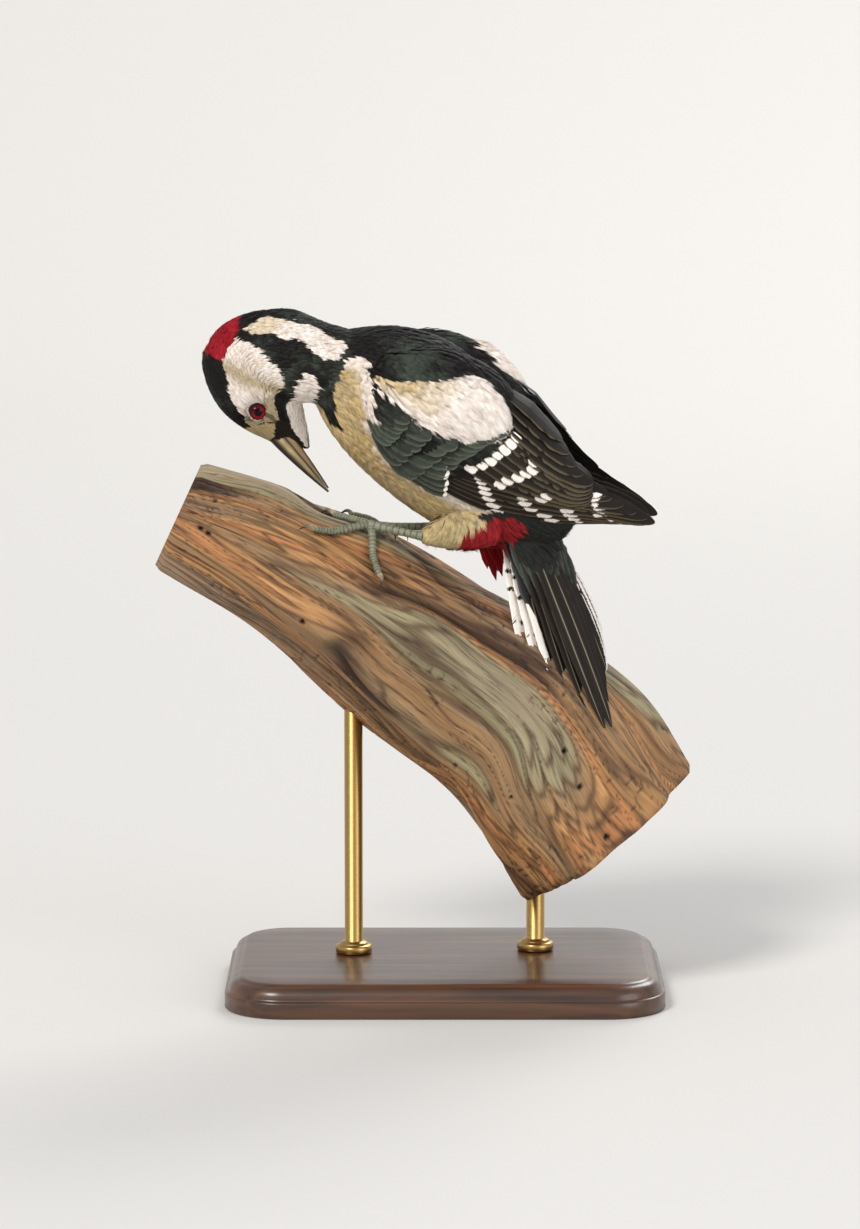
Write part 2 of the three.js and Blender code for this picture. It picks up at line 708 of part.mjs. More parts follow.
function shank(side) {
  const { share, turn } = footPlace(side);
  const from = vector(HEELS[side]);
  const to = onLimb(share, turn, FOOT_LIFT);
  const count = SCUTES * SHANK_STEPS_A_SCUTE;
  const rows = steps(count).map((t) => {
    const swell = SHANK_RADIUS * (1 + stationAt(SHANK_SWELL, t)[0]);
    const scute = SCUTE_RISE * Math.abs(Math.sin(Math.PI * SCUTES * t));
    return row(from.clone().lerp(to, t), swell + scute);
  });
  return ovalTube(rows, count, SHANK_SIDES, LEFT, 0);
}

const TOE_SIDE = new THREE.Vector3(0.2, -1, 0.4).normalize();

// Path of one toe over the wood: from the foot's joint down to the wood, and along it.
function toePoint(side, toe, t) {
  const { share, turn } = footPlace(side);
  const mirror = side === "left" ? 1 : -1;
  const along = (toe.along / limbLength) * t;
  const round = mirror * toe.round * DEG * t;
  const lift = mix(FOOT_LIFT, toe.radius + GAP, Math.min(1, t * 2.2));
  return onLimb(share + along, turn + round, lift);
}

function toe(side, one, grow) {
  const rows = steps(TOE_STEPS).map((t) => {
    const pad = 0.14 * Math.abs(Math.sin(Math.PI * one.joints * t));
    return row(toePoint(side, one, t), one.radius * (1.05 - 0.25 * t + pad));
  });
  return ovalTube(rows, TOE_STEPS, TOE_SIDES, TOE_SIDE, grow);
}

// The joint of the toes with its four toes.
function foot(side, grow) {
  const { share, turn } = footPlace(side);
  const ball = new THREE.SphereGeometry(FOOT_JOINT + grow, 8, 6);
  const joint = solid(ball.translate(...onLimb(share, turn, FOOT_LIFT).toArray()));
  return join([joint, ...TOES.map((one) => toe(side, one, grow))]);
}

function claw(side, one) {
  const end = toePoint(side, one, 1);
  const ahead = end.clone().sub(toePoint(side, one, 0.85)).normalize();
  const { share, turn } = footPlace(side);
  const mirror = side === "left" ? 1 : -1;
  const tipShare = share + one.along / limbLength;
  const tipTurn = turn + mirror * one.round * DEG;
  const out = onLimb(tipShare, tipTurn, 1).sub(onLimb(tipShare, tipTurn, 0)).normalize();
  const rows = steps(CLAW_STEPS).map((t) => {
    const bend = one.claw * (0.2 * Math.sin(Math.PI * t) - 0.34 * t * t);
    const middle = end.clone()
      .addScaledVector(ahead, CLAW_START + one.claw * t * (1 - 0.15 * t))
      .addScaledVector(out, bend + 0.35);
    return row(middle, Math.max(0.3, one.radius * 0.72 * (1 - t) ** 0.75));
  });
  return ovalTube(rows, CLAW_STEPS, CLAW_SIDES, TOE_SIDE, 0);
}

// ---------------------------------------------------------------- stand

function base() {
  const { long, wide, high, corner, bevel, cornerSteps } = BASE;
  const outline = new THREE.Shape();
  const [x, y, r] = [long / 2 - bevel, wide / 2 - bevel, corner];
  outline.moveTo(-x + r, -y);
  outline.lineTo(x - r, -y).absarc(x - r, -y + r, r, -Math.PI / 2, 0);
  outline.lineTo(x, y - r).absarc(x - r, y - r, r, 0, Math.PI / 2);
  outline.lineTo(-x + r, y).absarc(-x + r, y - r, r, Math.PI / 2, Math.PI);
  outline.lineTo(-x, -y + r).absarc(-x + r, -y + r, r, Math.PI, 1.5 * Math.PI);
  const plate = new THREE.ExtrudeGeometry(outline, {
    depth: high - 2 * bevel,
    bevelThickness: bevel,
    bevelSize: bevel,
    bevelSegments: 1,
    curveSegments: cornerSteps,
  });
  return solid(plate.translate(0, 0, bevel));
}

// A rod with a collar at its foot, as one turned piece.
function rod({ x, y, top }) {
  const profile = [
    [0, 0], [COLLAR.radius, 0], [COLLAR.radius, COLLAR.high - 1.5], [COLLAR.radius - 1.5, COLLAR.high],
    [ROD_RADIUS, COLLAR.high], [ROD_RADIUS, top - BASE.high], [0, top - BASE.high],
  ].map(([r, z]) => new THREE.Vector2(r, z));
  const turned = new THREE.LatheGeometry(profile, ROD_SIDES).rotateX(Math.PI / 2);
  return solid(turned.translate(x, y, BASE.high + GAP));
}

// ---------------------------------------------------------------- the whole model

addHead();
const fleshRoom = join([torso(GAP), neck(GAP), headOval(GAP)]);
const thighRoom = join([thigh("left", GAP), thigh("right", GAP)]);
const limbRoom = limb(GAP);

addNode("neck", neck(0).subtract(torso(GAP)).subtract(headOval(GAP)), "neck");
const wingRooms = join([fleshRoom, thighRoom]);
addNode("wing_left", wing(1).subtract(wingRooms), "black");
addNode("wing_right", wing(-1).subtract(wingRooms), "black");
const tailSolid = tail();
addNode("tail", tailSolid.subtract(wingRooms).subtract(limbRoom), "tail");
addNode("torso", torso(0), "torso");

["left", "right"].forEach((side) => {
  const feathered = thigh(side, 0);
  const shankRooms = join([thigh(side, GAP), fleshRoom, limbRoom, foot(side, GAP)]);
  addNode("thigh_" + side, feathered.subtract(torso(GAP)), "torso");
  addNode("shank_" + side, shank(side).subtract(shankRooms), "leg");
  addNode("foot_" + side, foot(side, 0).subtract(limbRoom), "leg");
  TOES.forEach((one) => {
    addNode(`claw_${side}_${one.name}`, claw(side, one).subtract(limbRoom), "claw");
  });
});

addNode("perch_limb", limb(0), "limb");
addNode("stand_base", base(), "base");
RODS.forEach((one) => addNode(one.name, rod(one).subtract(limbRoom), "rod"));

export default bird;
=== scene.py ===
# A great spotted woodpecker (Dendrocopos major, adult male) bending down over a cut length of limb,
# as a life-size museum model on a display stand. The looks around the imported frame.
# Lengths are in millimetres until a mesh is made. +Z is up, the bird's left is towards -Y and its head
# towards -X, as in the frame.
import itertools
import math
from types import SimpleNamespace

import bpy
import numpy as np
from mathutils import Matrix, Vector
from mathutils.bvhtree import BVHTree
from mathutils.kdtree import KDTree


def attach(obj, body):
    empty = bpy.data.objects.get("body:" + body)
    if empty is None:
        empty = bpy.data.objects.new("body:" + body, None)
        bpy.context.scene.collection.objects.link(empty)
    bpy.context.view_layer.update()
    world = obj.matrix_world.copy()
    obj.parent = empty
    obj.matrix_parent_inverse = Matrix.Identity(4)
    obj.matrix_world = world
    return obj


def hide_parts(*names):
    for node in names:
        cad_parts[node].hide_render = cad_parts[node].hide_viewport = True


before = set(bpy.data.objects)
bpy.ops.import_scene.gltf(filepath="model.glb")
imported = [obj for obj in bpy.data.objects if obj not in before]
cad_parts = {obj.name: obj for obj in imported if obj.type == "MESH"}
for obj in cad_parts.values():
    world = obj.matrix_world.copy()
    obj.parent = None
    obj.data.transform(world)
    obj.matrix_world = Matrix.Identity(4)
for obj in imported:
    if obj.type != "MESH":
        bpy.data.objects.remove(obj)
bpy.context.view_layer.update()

MM = 0.001
DEG = math.pi / 180
FEWER = 1.0

# ---------------------------------------------------------------- the bird's driving sizes

BODY_CENTRE = [-5, 0, 243]
BODY_PITCH = 37 * DEG
BODY_ROLL = 12 * DEG
BILL_ROOT = [-71.5, -3, 244.4]
BILL_AIM = [0.65, 0.03, -0.76]
HEAD_ROLL = 14 * DEG

# Torso and head: [x, top, bottom, half width] in their own frames.
TORSO = [
    [62, 4, -8, 6], [58, 13, -14, 14], [50, 22, -19.5, 20.5], [38, 31, -25.5, 25.5],
    [21, 37.5, -30, 28.5], [0, 38.5, -32, 29], [-20, 37, -31.5, 27.5], [-38, 32.5, -28.5, 24],
    [-52, 26, -23, 18.5], [-62, 19, -14, 13], [-68, 12.5, -6, 8.5], [-72, 6.5, 0, 3],
]
HEAD = [
    [15, -3.6, -7.4, 1.8], [11, -1.6, -9, 3], [7, 2.4, -11, 4.6], [2, 5.2, -13.6, 6.6], [-3, 7.4, -16.2, 9],
    [-9, 10, -18, 11.6], [-16, 12, -18.6, 13.4], [-24, 12.8, -17.8, 14], [-32, 11.6, -17, 13.6],
    [-40, 8.4, -15, 11.6], [-46, 4, -12.5, 8], [-49, -1.5, -8.5, 3.5],
]
# Neck: [x, y, z, half height, half width] in the world.
NECK = [
    [-13, 0, 258, 19, 20], [-34, -1, 268, 18.5, 20], [-54, -2, 274.6, 18.3, 18], [-69, -3, 277, 22, 16.5],
    [-82, -3, 278.5, 19.5, 15], [-92, -3, 278, 15.5, 12], [-99, -3, 276.5, 9.5, 8],
]
EYE = {"x": -14.4, "z": 2.6, "out": 9.9, "radius": 3.9}
HIPS = {"left": [20, -10, 207], "right": [22, 13, 207]}
HEELS = {"left": [-9, -19.5, 201.5], "right": [-4, 21, 201]}
THIGH_RADII = [10.5, 10.4, 9.2, 6.8, 3.8]
TAIL_ROOT = [34, 2, 205]
TAIL_TIP = [68, -19, 120]
TAIL_TURN = 52 * DEG
TAIL_STUMP = [[-8, 7.5, -9, 13.5], [6, 7.5, -9.5, 14], [16, 6, -9, 12.5], [27, 2.5, -4.5, 7]]

# Surface that the folded wings lie on: [x, centre z, up, down, half width] in the body's frame.
WING_SHELL = [
    [42, 4, 29, 30, 24], [34, 5, 32.5, 33, 27.5], [20, 7, 34.5, 38, 31.2], [0, 8.5, 34.5, 41.5, 32.4],
    [-20, 10.5, 28.2, 40, 30.5], [-40, 14.5, 18.8, 35, 25.5], [-60, 19.5, 10, 24, 17.5],
    [-80, 26.3, 5.6, 12.5, 10.5], [-100, 31.5, 3, 5.6, 5.5],
]
# Flesh and down under the coverts of each wing: [x, first and last degrees round], [x, height].
WING_FLESH = [[38, 50, 92], [20, 24, 112], [0, 12, 114], [-14, 10, 110], [-26, 14, 80]]
FLESH_TOP = [[38, -1.6], [26, 0.6], [6, 1.8], [-8, 1.6], [-26, 0.2]]
# The white shoulder patch on the wing's shell: [x, degrees round]. Its feathers lie higher than the rest.
SHOULDER = [
    [37, 71], [30, 69], [24, 65], [17, 58], [11, 49], [5.6, 39], [-0.6, 35], [-8.5, 34], [-16, 38],
    [-21.5, 45], [-22, 57], [-18, 67], [-11, 76], [-3, 80], [9, 83], [19, 82.5], [29, 79.5], [35, 75],
]
FLESH_CELLS = 64
FLESH_SUNK = 9  # how far its inner side lies under the shell
SHOULDER_RISE = 2.4
SHELL_ARC = 0.56  # millimetres of the shell for one degree round
FAR_SHIFT = 14  # degrees that the patch of the right side lies nearer to the back
FAR_WIDER = 4  # millimetres that its white reaches past its raised feathers

# How far the skin lies inside the outer form of each part.
COAT = {"torso": 2.4, "neck": 2.2, "head": 1.5, "thigh": 1.4, "tail": 1.2}
SKIN_CELL = 0.9
SKIN_ROUNDS = 6  # of smoothing

# ---------------------------------------------------------------- vectors, tables, outlines, noise


def unit(v):
    """Vectors of length 1."""
    v = np.asarray(v, float)
    return v / np.maximum(np.linalg.norm(v, axis=-1, keepdims=True), 1e-9)


def turned(v, axis, angle):
    """A vector turned round an axis by an angle in radians."""
    v, axis = np.asarray(v, float), unit(axis)
    across = np.cross(axis, v)
    return v * math.cos(angle) + across * math.sin(angle) + axis * np.dot(axis, v) * (1 - math.cos(angle))


def mix(a, b, t):
    """From a at 0 to b at 1."""
    return a + (b - a) * t


def smooth(t):
    """A soft step from 0 to 1."""
    t = np.clip(t, 0, 1)
    return t * t * (3 - 2 * t)


def dot(a, b):
    """Scalar products of vectors."""
    return np.sum(a * b, -1)


def circle(count):
    """Angles of points evenly round a full turn."""
    return np.linspace(0, 2 * math.pi, count, endpoint=False)


def bell(x, width):
    """A smooth hump round 0, down to about a third at the width."""
    return np.exp(-((x / width) ** 2))


def stacked(*parts):
    """Vectors from coordinates that broadcast together."""
    return np.stack(np.broadcast_arrays(*parts), -1)


def station(table, x):
    """Smooth values of the other columns of a table of stations at x, its first column."""
    rows = np.array(sorted(table), float)
    xs = rows[:, 0]
    x = np.asarray(x, float)
    i = np.clip(np.searchsorted(xs, x, side="right") - 1, 0, len(xs) - 2)
    low = np.maximum(np.arange(len(xs)) - 1, 0)
    high = np.minimum(np.arange(len(xs)) + 1, len(xs) - 1)
    slope = (rows[high, 1:] - rows[low, 1:]) / (xs[high] - xs[low])[:, None]
    span = (xs[i + 1] - xs[i])[..., None]
    t = np.clip((x - xs[i]) / (xs[i + 1] - xs[i]), 0, 1)[..., None]
    t2, t3 = t**2, t**3
    ends = (2 * t3 - 3 * t2 + 1) * rows[i, 1:] + (3 * t2 - 2 * t3) * rows[i + 1, 1:]
    return ends + span * ((t3 - 2 * t2 + t) * slope[i] + (t3 - t2) * slope[i + 1])


def columns(table, x):
    """The same values, as one array for each column."""
    return np.moveaxis(station(table, x), -1, 0)


def inside(outline, x, y):
    """Whether points lie inside a closed outline."""
    corners = np.asarray(outline, float)
    hit = np.zeros(np.shape(x), bool)
    for (ax, ay), (bx, by) in zip(corners, np.roll(corners, -1, 0)):
        if ay == by:
            continue
        crossing = ((ay > y) != (by > y)) & (x < (bx - ax) * (y - ay) / (by - ay) + ax)
        hit ^= crossing
    return hit


def line_gap(line, x, y):
    """Distance of points from a line of straight stretches."""
    corners = np.asarray(line, float)
    place = stacked(x, y)
    near = np.full(place.shape[:-1], 1e9)
    for a, b in zip(corners, corners[1:]):
        edge = b - a
        share = np.clip(((place - a) @ edge) / max(np.dot(edge, edge), 1e-9), 0, 1)
        near = np.minimum(near, np.linalg.norm(place - a - share[..., None] * edge, axis=-1))
    return near


def outline_depth(outline, x, y):
    """How deep points lie inside a closed outline, negative outside it."""
    near = line_gap([*outline, outline[0]], x, y)
    return np.where(inside(outline, x, y), near, -near)


def shoulder_depth(x, degrees, far):
    """How deep places on the wing's shell lie inside the shoulder patch, in millimetres."""
    turn = (degrees + np.where(far, FAR_SHIFT, 0)) * SHELL_ARC
    x, turn = np.broadcast_arrays(np.asarray(x, float), turn)
    return outline_depth([[px, degree * SHELL_ARC] for px, degree in SHOULDER], x, turn)


def lattice(ix, iy, iz, seed):
    """A random value from 0 to 1 for each point of a whole-number lattice."""
    h = (ix * 374761393 + iy * 668265263 + iz * 1440662683 + seed * 1274126177) & 0xFFFFFFFF
    h = ((h ^ (h >> 13)) * 1274126177) & 0xFFFFFFFF
    return ((h ^ (h >> 16)) & 0xFFFF) / 0xFFFF


def noise(p, seed=0):
    """Smooth random value from -1 to 1 at each point, with features about 1 across."""
    p = np.asarray(p, float)
    cell = np.floor(p).astype(np.int64)
    near = smooth(p - cell)
    share = (1 - near, near)
    total = 0
    for dx, dy, dz in itertools.product((0, 1), repeat=3):
        weight = share[dx][..., 0] * share[dy][..., 1] * share[dz][..., 2]
        total = total + weight * lattice(cell[..., 0] + dx, cell[..., 1] + dy, cell[..., 2] + dz, seed)
    return total * 2 - 1


class Curve:
    """Centripetal Catmull-Rom curve through points, with values by share of its parameter or length."""

    def __init__(self, points):
        p = np.asarray(points, float)
        self.points = np.vstack([2 * p[0] - p[1], p, 2 * p[-1] - p[-2]])
        self.spans = len(p) - 1
        self.table = np.linspace(0, 1, 201)
        steps = np.linalg.norm(np.diff(self.at(self.table), axis=0), axis=1)
        self.run = np.concatenate([[0], np.cumsum(steps)])
        self.length = self.run[-1]

    def at(self, t):
        """The value at t."""
        t = np.asarray(t, float) * self.spans
        i = np.clip(np.floor(t).astype(int), 0, self.spans - 1)
        w = (t - i)[..., None]
        near = np.array([self.points[i + k] for k in range(4)])
        p0, p1, p2, p3 = near
        g0, g1, g2 = np.linalg.norm(np.diff(near, axis=0), axis=-1, keepdims=True) ** 0.5
        m1 = ((p1 - p0) / g0 - (p2 - p0) / (g0 + g1) + (p2 - p1) / g1) * g1
        m2 = ((p2 - p1) / g1 - (p3 - p1) / (g1 + g2) + (p3 - p2) / g2) * g1
        return p1 + m1 * w + (3 * (p2 - p1) - 2 * m1 - m2) * w**2 + (2 * (p1 - p2) + m1 + m2) * w**3

    def share(self, u):
        """The parameter at a share of the length."""
        return np.interp(np.asarray(u, float) * self.length, self.run, self.table)

    def ahead(self, t):
        """The direction at t."""
        return unit(self.at(np.clip(t + 1e-4, 0, 1)) - self.at(np.clip(t - 1e-4, 0, 1)))


class Frame:
    """An origin with axes ahead, to the left and up, rolled about the first. hand is -1 where the
    third axis points down instead."""

    def __init__(self, origin, ahead, roll, hand=1):
        ahead = unit(ahead)
        left = unit(LEFT - ahead * np.dot(LEFT, ahead))
        up = hand * np.cross(ahead, left)
        self.origin = np.array(origin, float)
        self.axes = np.stack([ahead, turned(left, ahead, roll), turned(up, ahead, roll)], 1)

    def out(self, x, y, z):
        """Points of the world from coordinates in this frame."""
        return stacked(x, y, z) @ self.axes.T + self.origin

    def local(self, points):
        """Coordinates in this frame of points of the world."""
        return (points - self.origin) @ self.axes


LEFT = np.array([0.0, -1.0, 0.0])
BODY = Frame(BODY_CENTRE, [-math.cos(BODY_PITCH), 0, math.sin(BODY_PITCH)], -BODY_ROLL)
SKULL = Frame(BILL_ROOT, BILL_AIM, -HEAD_ROLL)
TAIL = Frame(TAIL_ROOT, np.subtract(TAIL_TIP, TAIL_ROOT), TAIL_TURN, hand=-1)
NECK_PATH = Curve([row[:3] for row in NECK])
NECK_SIZE = Curve([[row[3], row[4], 0] for row in NECK])

# ---------------------------------------------------------------- making meshes


def mesh_object(name, points, faces, tint=None, maps=None, values=None):
    """A mesh from points in millimetres and faces of equally many corners. maps are UV maps by point,
    values are vectors by point."""
    mesh = bpy.data.meshes.new(name)
    points = np.asarray(points, np.float32).reshape(-1, 3)
    faces = np.asarray(faces, np.int32)
    mesh.vertices.add(len(points))
    mesh.vertices.foreach_set("co", (points * MM).ravel())
    mesh.loops.add(faces.size)
    mesh.loops.foreach_set("vertex_index", faces.ravel())
    mesh.polygons.add(len(faces))
    mesh.polygons.foreach_set("loop_start", np.arange(0, faces.size, faces.shape[1], dtype=np.int32))
    mesh.polygons.foreach_set("use_smooth", np.ones(len(faces), bool))
    mesh.update(calc_edges=True)
    if tint is not None:
        paint = mesh.color_attributes.new("Tint", "FLOAT_COLOR", "POINT")
        rgba = np.ones((len(points), 4), np.float32)
        rgba[:, :3] = tint
        paint.data.foreach_set("color", rgba.ravel())
    for key, uv in (maps or {}).items():
        layer = mesh.uv_layers.new(name=key)
        layer.data.foreach_set("uv", np.asarray(uv, np.float32)[faces.ravel()].ravel())
    for key, vectors in (values or {}).items():
        attribute = mesh.attributes.new(key, "FLOAT_VECTOR", "POINT")
        attribute.data.foreach_set("vector", np.asarray(vectors, np.float32).ravel())
    made = bpy.data.objects.new(name, mesh)
    bpy.context.scene.collection.objects.link(made)
    return made


def finish_piece(piece, material, replaced=()):
    """Gives a piece its material and its place in the frame."""
    piece.data.materials.append(material)
    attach(piece, "root")
    if replaced:
        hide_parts(*replaced)
    return piece


def grid_faces(rows, across, around=False, looped=False):
    """Quads over a grid of points. Each row may go around, and the last row may join the first."""
    i, j = np.meshgrid(np.arange(rows - (not looped)), np.arange(across - (not around)), indexing="ij")
    ni, nj = (i + 1) % rows, (j + 1) % across
    return np.stack([i * across + j, i * across + nj, ni * across + nj, ni * across + j], -1).reshape(-1, 4)


def closed_tube(grid):
    """Points and quads of a tube with its two ends drawn in to a point. grid is rings by sides."""
    first, last = (np.broadcast_to(ring.mean(0), (1, *ring.shape)) for ring in (grid[0], grid[-1]))
    grid = np.concatenate([first, grid, last])
    return grid.reshape(-1, 3), grid_faces(*grid.shape[:2], around=True)


def slab(outer, inner):
    """Points and quads of a closed sheet between two grids of points that match."""
    rows, across = outer.shape[:2]
    half = rows * across
    index = np.arange(half).reshape(rows, across)
    rim = np.concatenate([index[0, :-1], index[:-1, -1], index[-1, :0:-1], index[:0:-1, 0]])
    after = np.roll(rim, -1)
    face = grid_faces(rows, across)
    edge = np.stack([after, rim, rim + half, after + half], -1)
    points = np.concatenate([outer.reshape(-1, 3), inner.reshape(-1, 3)])
    return points, np.concatenate([face, face[:, ::-1] + half, edge])


def oval_rings(table, count, sides, where, grow):
    """Rings of an oval loft through stations of [x, top, bottom, half width]."""
    x = np.linspace(table[0][0], table[-1][0], count)
    top, bottom, half = columns(table, x)
    reach = x.copy()
    reach[0] += grow
    reach[-1] -= grow
    a = circle(sides)
    high = ((top - bottom) / 2 + grow)[:, None] * np.cos(a)
    wide = (half + grow)[:, None] * np.sin(a)
    return where.out(reach[:, None], wide, (top + bottom)[:, None] / 2 + high)


def tube_rings(path, high, wide, sides, side=LEFT):
    """Rings round points of a path, with half sizes above and to the side."""
    ahead = unit(np.gradient(path, axis=0))
    across = unit(side - ahead * dot(ahead, side)[:, None])
    above = np.cross(ahead, across)
    a = circle(sides)
    rise = (high[:, None] * np.cos(a))[..., None] * above[:, None]
    return path[:, None] + rise + (wide[:, None] * np.sin(a))[..., None] * across[:, None]


def wing_point(sign, x, degrees, height):
    """A point of a wing's shell: place along the body, degrees round from the back, height above it."""
    x, degrees, height = np.broadcast_arrays(np.asarray(x, float), degrees, height)
    middle, up, down, half = columns(WING_SHELL, x)
    a = degrees * DEG
    high = np.where(np.cos(a) > 0, up, down) + height
    return BODY.out(x, sign * (half + height) * np.sin(a), middle + high * np.cos(a))


# ---------------------------------------------------------------- skin


def thigh_radius(share):
    """Radius of a thigh at a share of its length from the hip."""
    return np.interp(share, np.linspace(0, 1, len(THIGH_RADII)), THIGH_RADII)


def thigh_rings(side, grow):
    """Rings of a thigh, grown all round."""
    share = np.linspace(0, 1, 24)
    path = mix(np.array(HIPS[side], float), np.array(HEELS[side], float), share[:, None])
    radius = thigh_radius(share) + grow
    return tube_rings(path, radius, radius, 32)


def neck_rings(grow):
    """Rings of the neck, grown all round."""
    t = np.linspace(0, 1, 40)
    size = NECK_SIZE.at(t) + grow
    return tube_rings(NECK_PATH.at(t), size[:, 0], size[:, 1], 48)


def wing_flesh(sign):
    """The flesh under a wing, raised where the shoulder patch lies on it."""
    share = np.linspace(0, 1, FLESH_CELLS)
    x = mix(WING_FLESH[0][0], WING_FLESH[-1][0], share)[:, None]
    first, last = columns(WING_FLESH, x)
    degrees = mix(first, last, share)
    edge = 1 - np.abs(2 * share - 1) ** 6
    rise = station(FLESH_TOP, x[:, 0]) * edge - 3 * (1 - edge)
    rise = rise + SHOULDER_RISE * smooth(shoulder_depth(x, degrees, sign < 0) / 4 + 0.2)
    return slab(wing_point(sign, x, degrees, rise), wing_point(sign, x, degrees, -FLESH_SUNK))


def build_skin():
    """The forms of the body as one closed surface of even cells, smoothed, with room left for the coat."""
    grids = [
        oval_rings(TORSO, 60, 72, BODY, -COAT["torso"]),
        neck_rings(-COAT["neck"]),
        oval_rings(HEAD, 50, 56, SKULL, -COAT["head"]),
        thigh_rings("left", -COAT["thigh"]),
        thigh_rings("right", -COAT["thigh"]),
        oval_rings(TAIL_STUMP, 20, 32, TAIL, -COAT["tail"]),
    ]
    shapes = [closed_tube(grid) for grid in grids] + [wing_flesh(1), wing_flesh(-1)]
    starts = np.cumsum([0] + [len(points) for points, _ in shapes])
    faces = np.concatenate([faces + start for (_, faces), start in zip(shapes, starts)])
    rough = mesh_object("rough", np.concatenate([points for points, _ in shapes]), faces)
    remesh = rough.modifiers.new("remesh", "REMESH")
    remesh.mode = "VOXEL"
    remesh.voxel_size = SKIN_CELL * MM
    soften = rough.modifiers.new("soften", "SMOOTH")
    soften.factor = 0.5
    soften.iterations = SKIN_ROUNDS
    evaluated = rough.evaluated_get(bpy.context.evaluated_depsgraph_get())
    mesh = evaluated.to_mesh()
    co = np.zeros(len(mesh.vertices) * 3, np.float32)
    mesh.vertices.foreach_get("co", co)
    corners = np.zeros(len(mesh.loops), np.int32)
    mesh.loops.foreach_get("vertex_index", corners)
    evaluated.to_mesh_clear()
    bpy.data.objects.remove(rough)
    return co.reshape(-1, 3) / MM, corners.reshape(-1, 4)


SKIN_POINTS, SKIN_FACES = build_skin()
SURFACE = BVHTree.FromPolygons(SKIN_POINTS.tolist(), SKIN_FACES.tolist())


def on_skin(points):
    """Nearest places on the skin, with the outward directions there."""
    found = [SURFACE.find_nearest(Vector(p)) for p in points]
    return np.array([f[0] for f in found]), np.array([f[1] for f in found])


# ---------------------------------------------------------------- parts of the bird, and the lie of its coat


def oval_depth(table, q):
    """How far local points lie outside an oval form, roughly, in millimetres."""
    low, high = sorted((table[0][0], table[-1][0]))
    x = np.clip(q[:, 0], low, high)
    top, bottom, half = columns(table, x)
    tall = np.maximum((top - bottom) / 2, 1)
    share = np.hypot(q[:, 1] / np.maximum(half, 1), (q[:, 2] - (top + bottom) / 2) / tall)
    return (share - 1) * np.minimum(half, tall) + np.abs(q[:, 0] - x)


def neck_place(points):
    """Place along the neck, how far outside it, degrees round it from above, and its direction there."""
    t = np.linspace(0, 1, 120)
    path, size, ahead = NECK_PATH.at(t), NECK_SIZE.at(t), NECK_PATH.ahead(t)
    near = np.argmin(((points[:, None] - path[None]) ** 2).sum(-1), axis=1)
    across = unit(LEFT - ahead * dot(ahead, LEFT)[:, None])
    above = np.cross(ahead, across)
    offset = points - path[near]
    side, rise = dot(offset, across[near]), dot(offset, above[near])
    depth = (np.hypot(side / size[near, 1], rise / size[near, 0]) - 1) * size[near, 1]
    return t[near], depth, degrees_round(side, rise), ahead[near]


def thigh_depth(points, side):
    """How far points lie outside a thigh, in millimetres."""
    start, end = np.array(HIPS[side], float), np.array(HEELS[side], float)
    along = np.clip((points - start) @ (end - start) / np.dot(end - start, end - start), 0, 1)
    return np.linalg.norm(points - mix(start, end, along[:, None]), axis=1) - thigh_radius(along)


PARTS = ("torso", "neck", "head", "thigh")
BLEND_WIDTH = 2.6  # over which one part's coat turns into the next one's


def degrees_round(side, rise):
    """Degrees round from above, the same to the left and to the right."""
    return np.degrees(np.arctan2(np.abs(side), rise))


def coat_places(points):
    """Everything that the coat's lie, sizes and colours depend on, for points on the skin."""
    body, head = BODY.local(points), SKULL.local(points)
    neck_t, neck_depth, neck_round, neck_ahead = neck_place(points)
    legs = [thigh_depth(points, side) for side in ("left", "right")]
    depth = np.stack([oval_depth(TORSO, body), neck_depth, oval_depth(HEAD, head), np.minimum(*legs) + 0.6])
    share = np.exp(-(depth - depth.min(0)) / BLEND_WIDTH)
    part = depth.argmin(0)
    top, bottom, _ = columns(TORSO, body[:, 0])
    return SimpleNamespace(
        world=points, body=body, head=head, tail=TAIL.local(points),
        share=dict(zip(PARTS, share / share.sum(0))),
        part=part, on_torso=part == 0, on_neck=part == 1, on_head=part == 2, on_thigh=part == 3,
        round=degrees_round(body[:, 1], body[:, 2] - (top + bottom) / 2),
        neck_t=neck_t, neck_round=neck_round, neck_ahead=neck_ahead,
        left_leg=legs[0] < legs[1],
    )


def lie_of_coat(normals, places):
    """The way that feathers point at each place, along the surface."""
    share = {k: v[:, None] for k, v in places.share.items()}
    forward, left, up = BODY.axes.T
    torso = -forward - 0.1 * up + 0.12 * np.sign(places.body[:, 1:2]) * left
    skull = -SKULL.axes[:, 0] + 0.05 * SKULL.axes[:, 2]
    knees = {side: unit(np.subtract(HEELS[side], HIPS[side])) for side in HIPS}
    knee = np.where(places.left_leg[:, None], knees["left"], knees["right"])
    thigh = 0.55 * knee - 0.45 * forward - 0.2 * up
    flow = share["torso"] * torso + share["head"] * skull + share["thigh"] * thigh
    flow = flow - share["neck"] * places.neck_ahead
    return unit(flow - normals * dot(flow, normals)[:, None])


# ---------------------------------------------------------------- colours and markings


def srgb(*levels):
    """A linear colour from screen levels."""
    v = np.array(levels, float) / 255
    return np.where(v <= 0.04045, v / 12.92, ((v + 0.055) / 1.055) ** 2.4)


BLACK = srgb(15, 12, 11)
# painted sheen: the grey-green that stands in for the gloss on black feathers
GREEN_SHEEN = srgb(64, 72, 62)
BROWN_BLACK = srgb(40, 31, 22)
WHITE = srgb(240, 232, 224)
PINK_WHITE = srgb(224, 208, 196)
# painted shade in the partings of the white shoulder patch
SHADE_ROSE_GREY = srgb(168, 150, 138)
BUFF = srgb(200, 176, 126)
DEEP_BUFF = srgb(164, 140, 94)
NAPE_RED = srgb(160, 12, 32)
VENT_RED = srgb(158, 28, 36)
GREY_BUFF = srgb(168, 156, 122)
SHADED_BLUE_GREY = srgb(118, 138, 130)

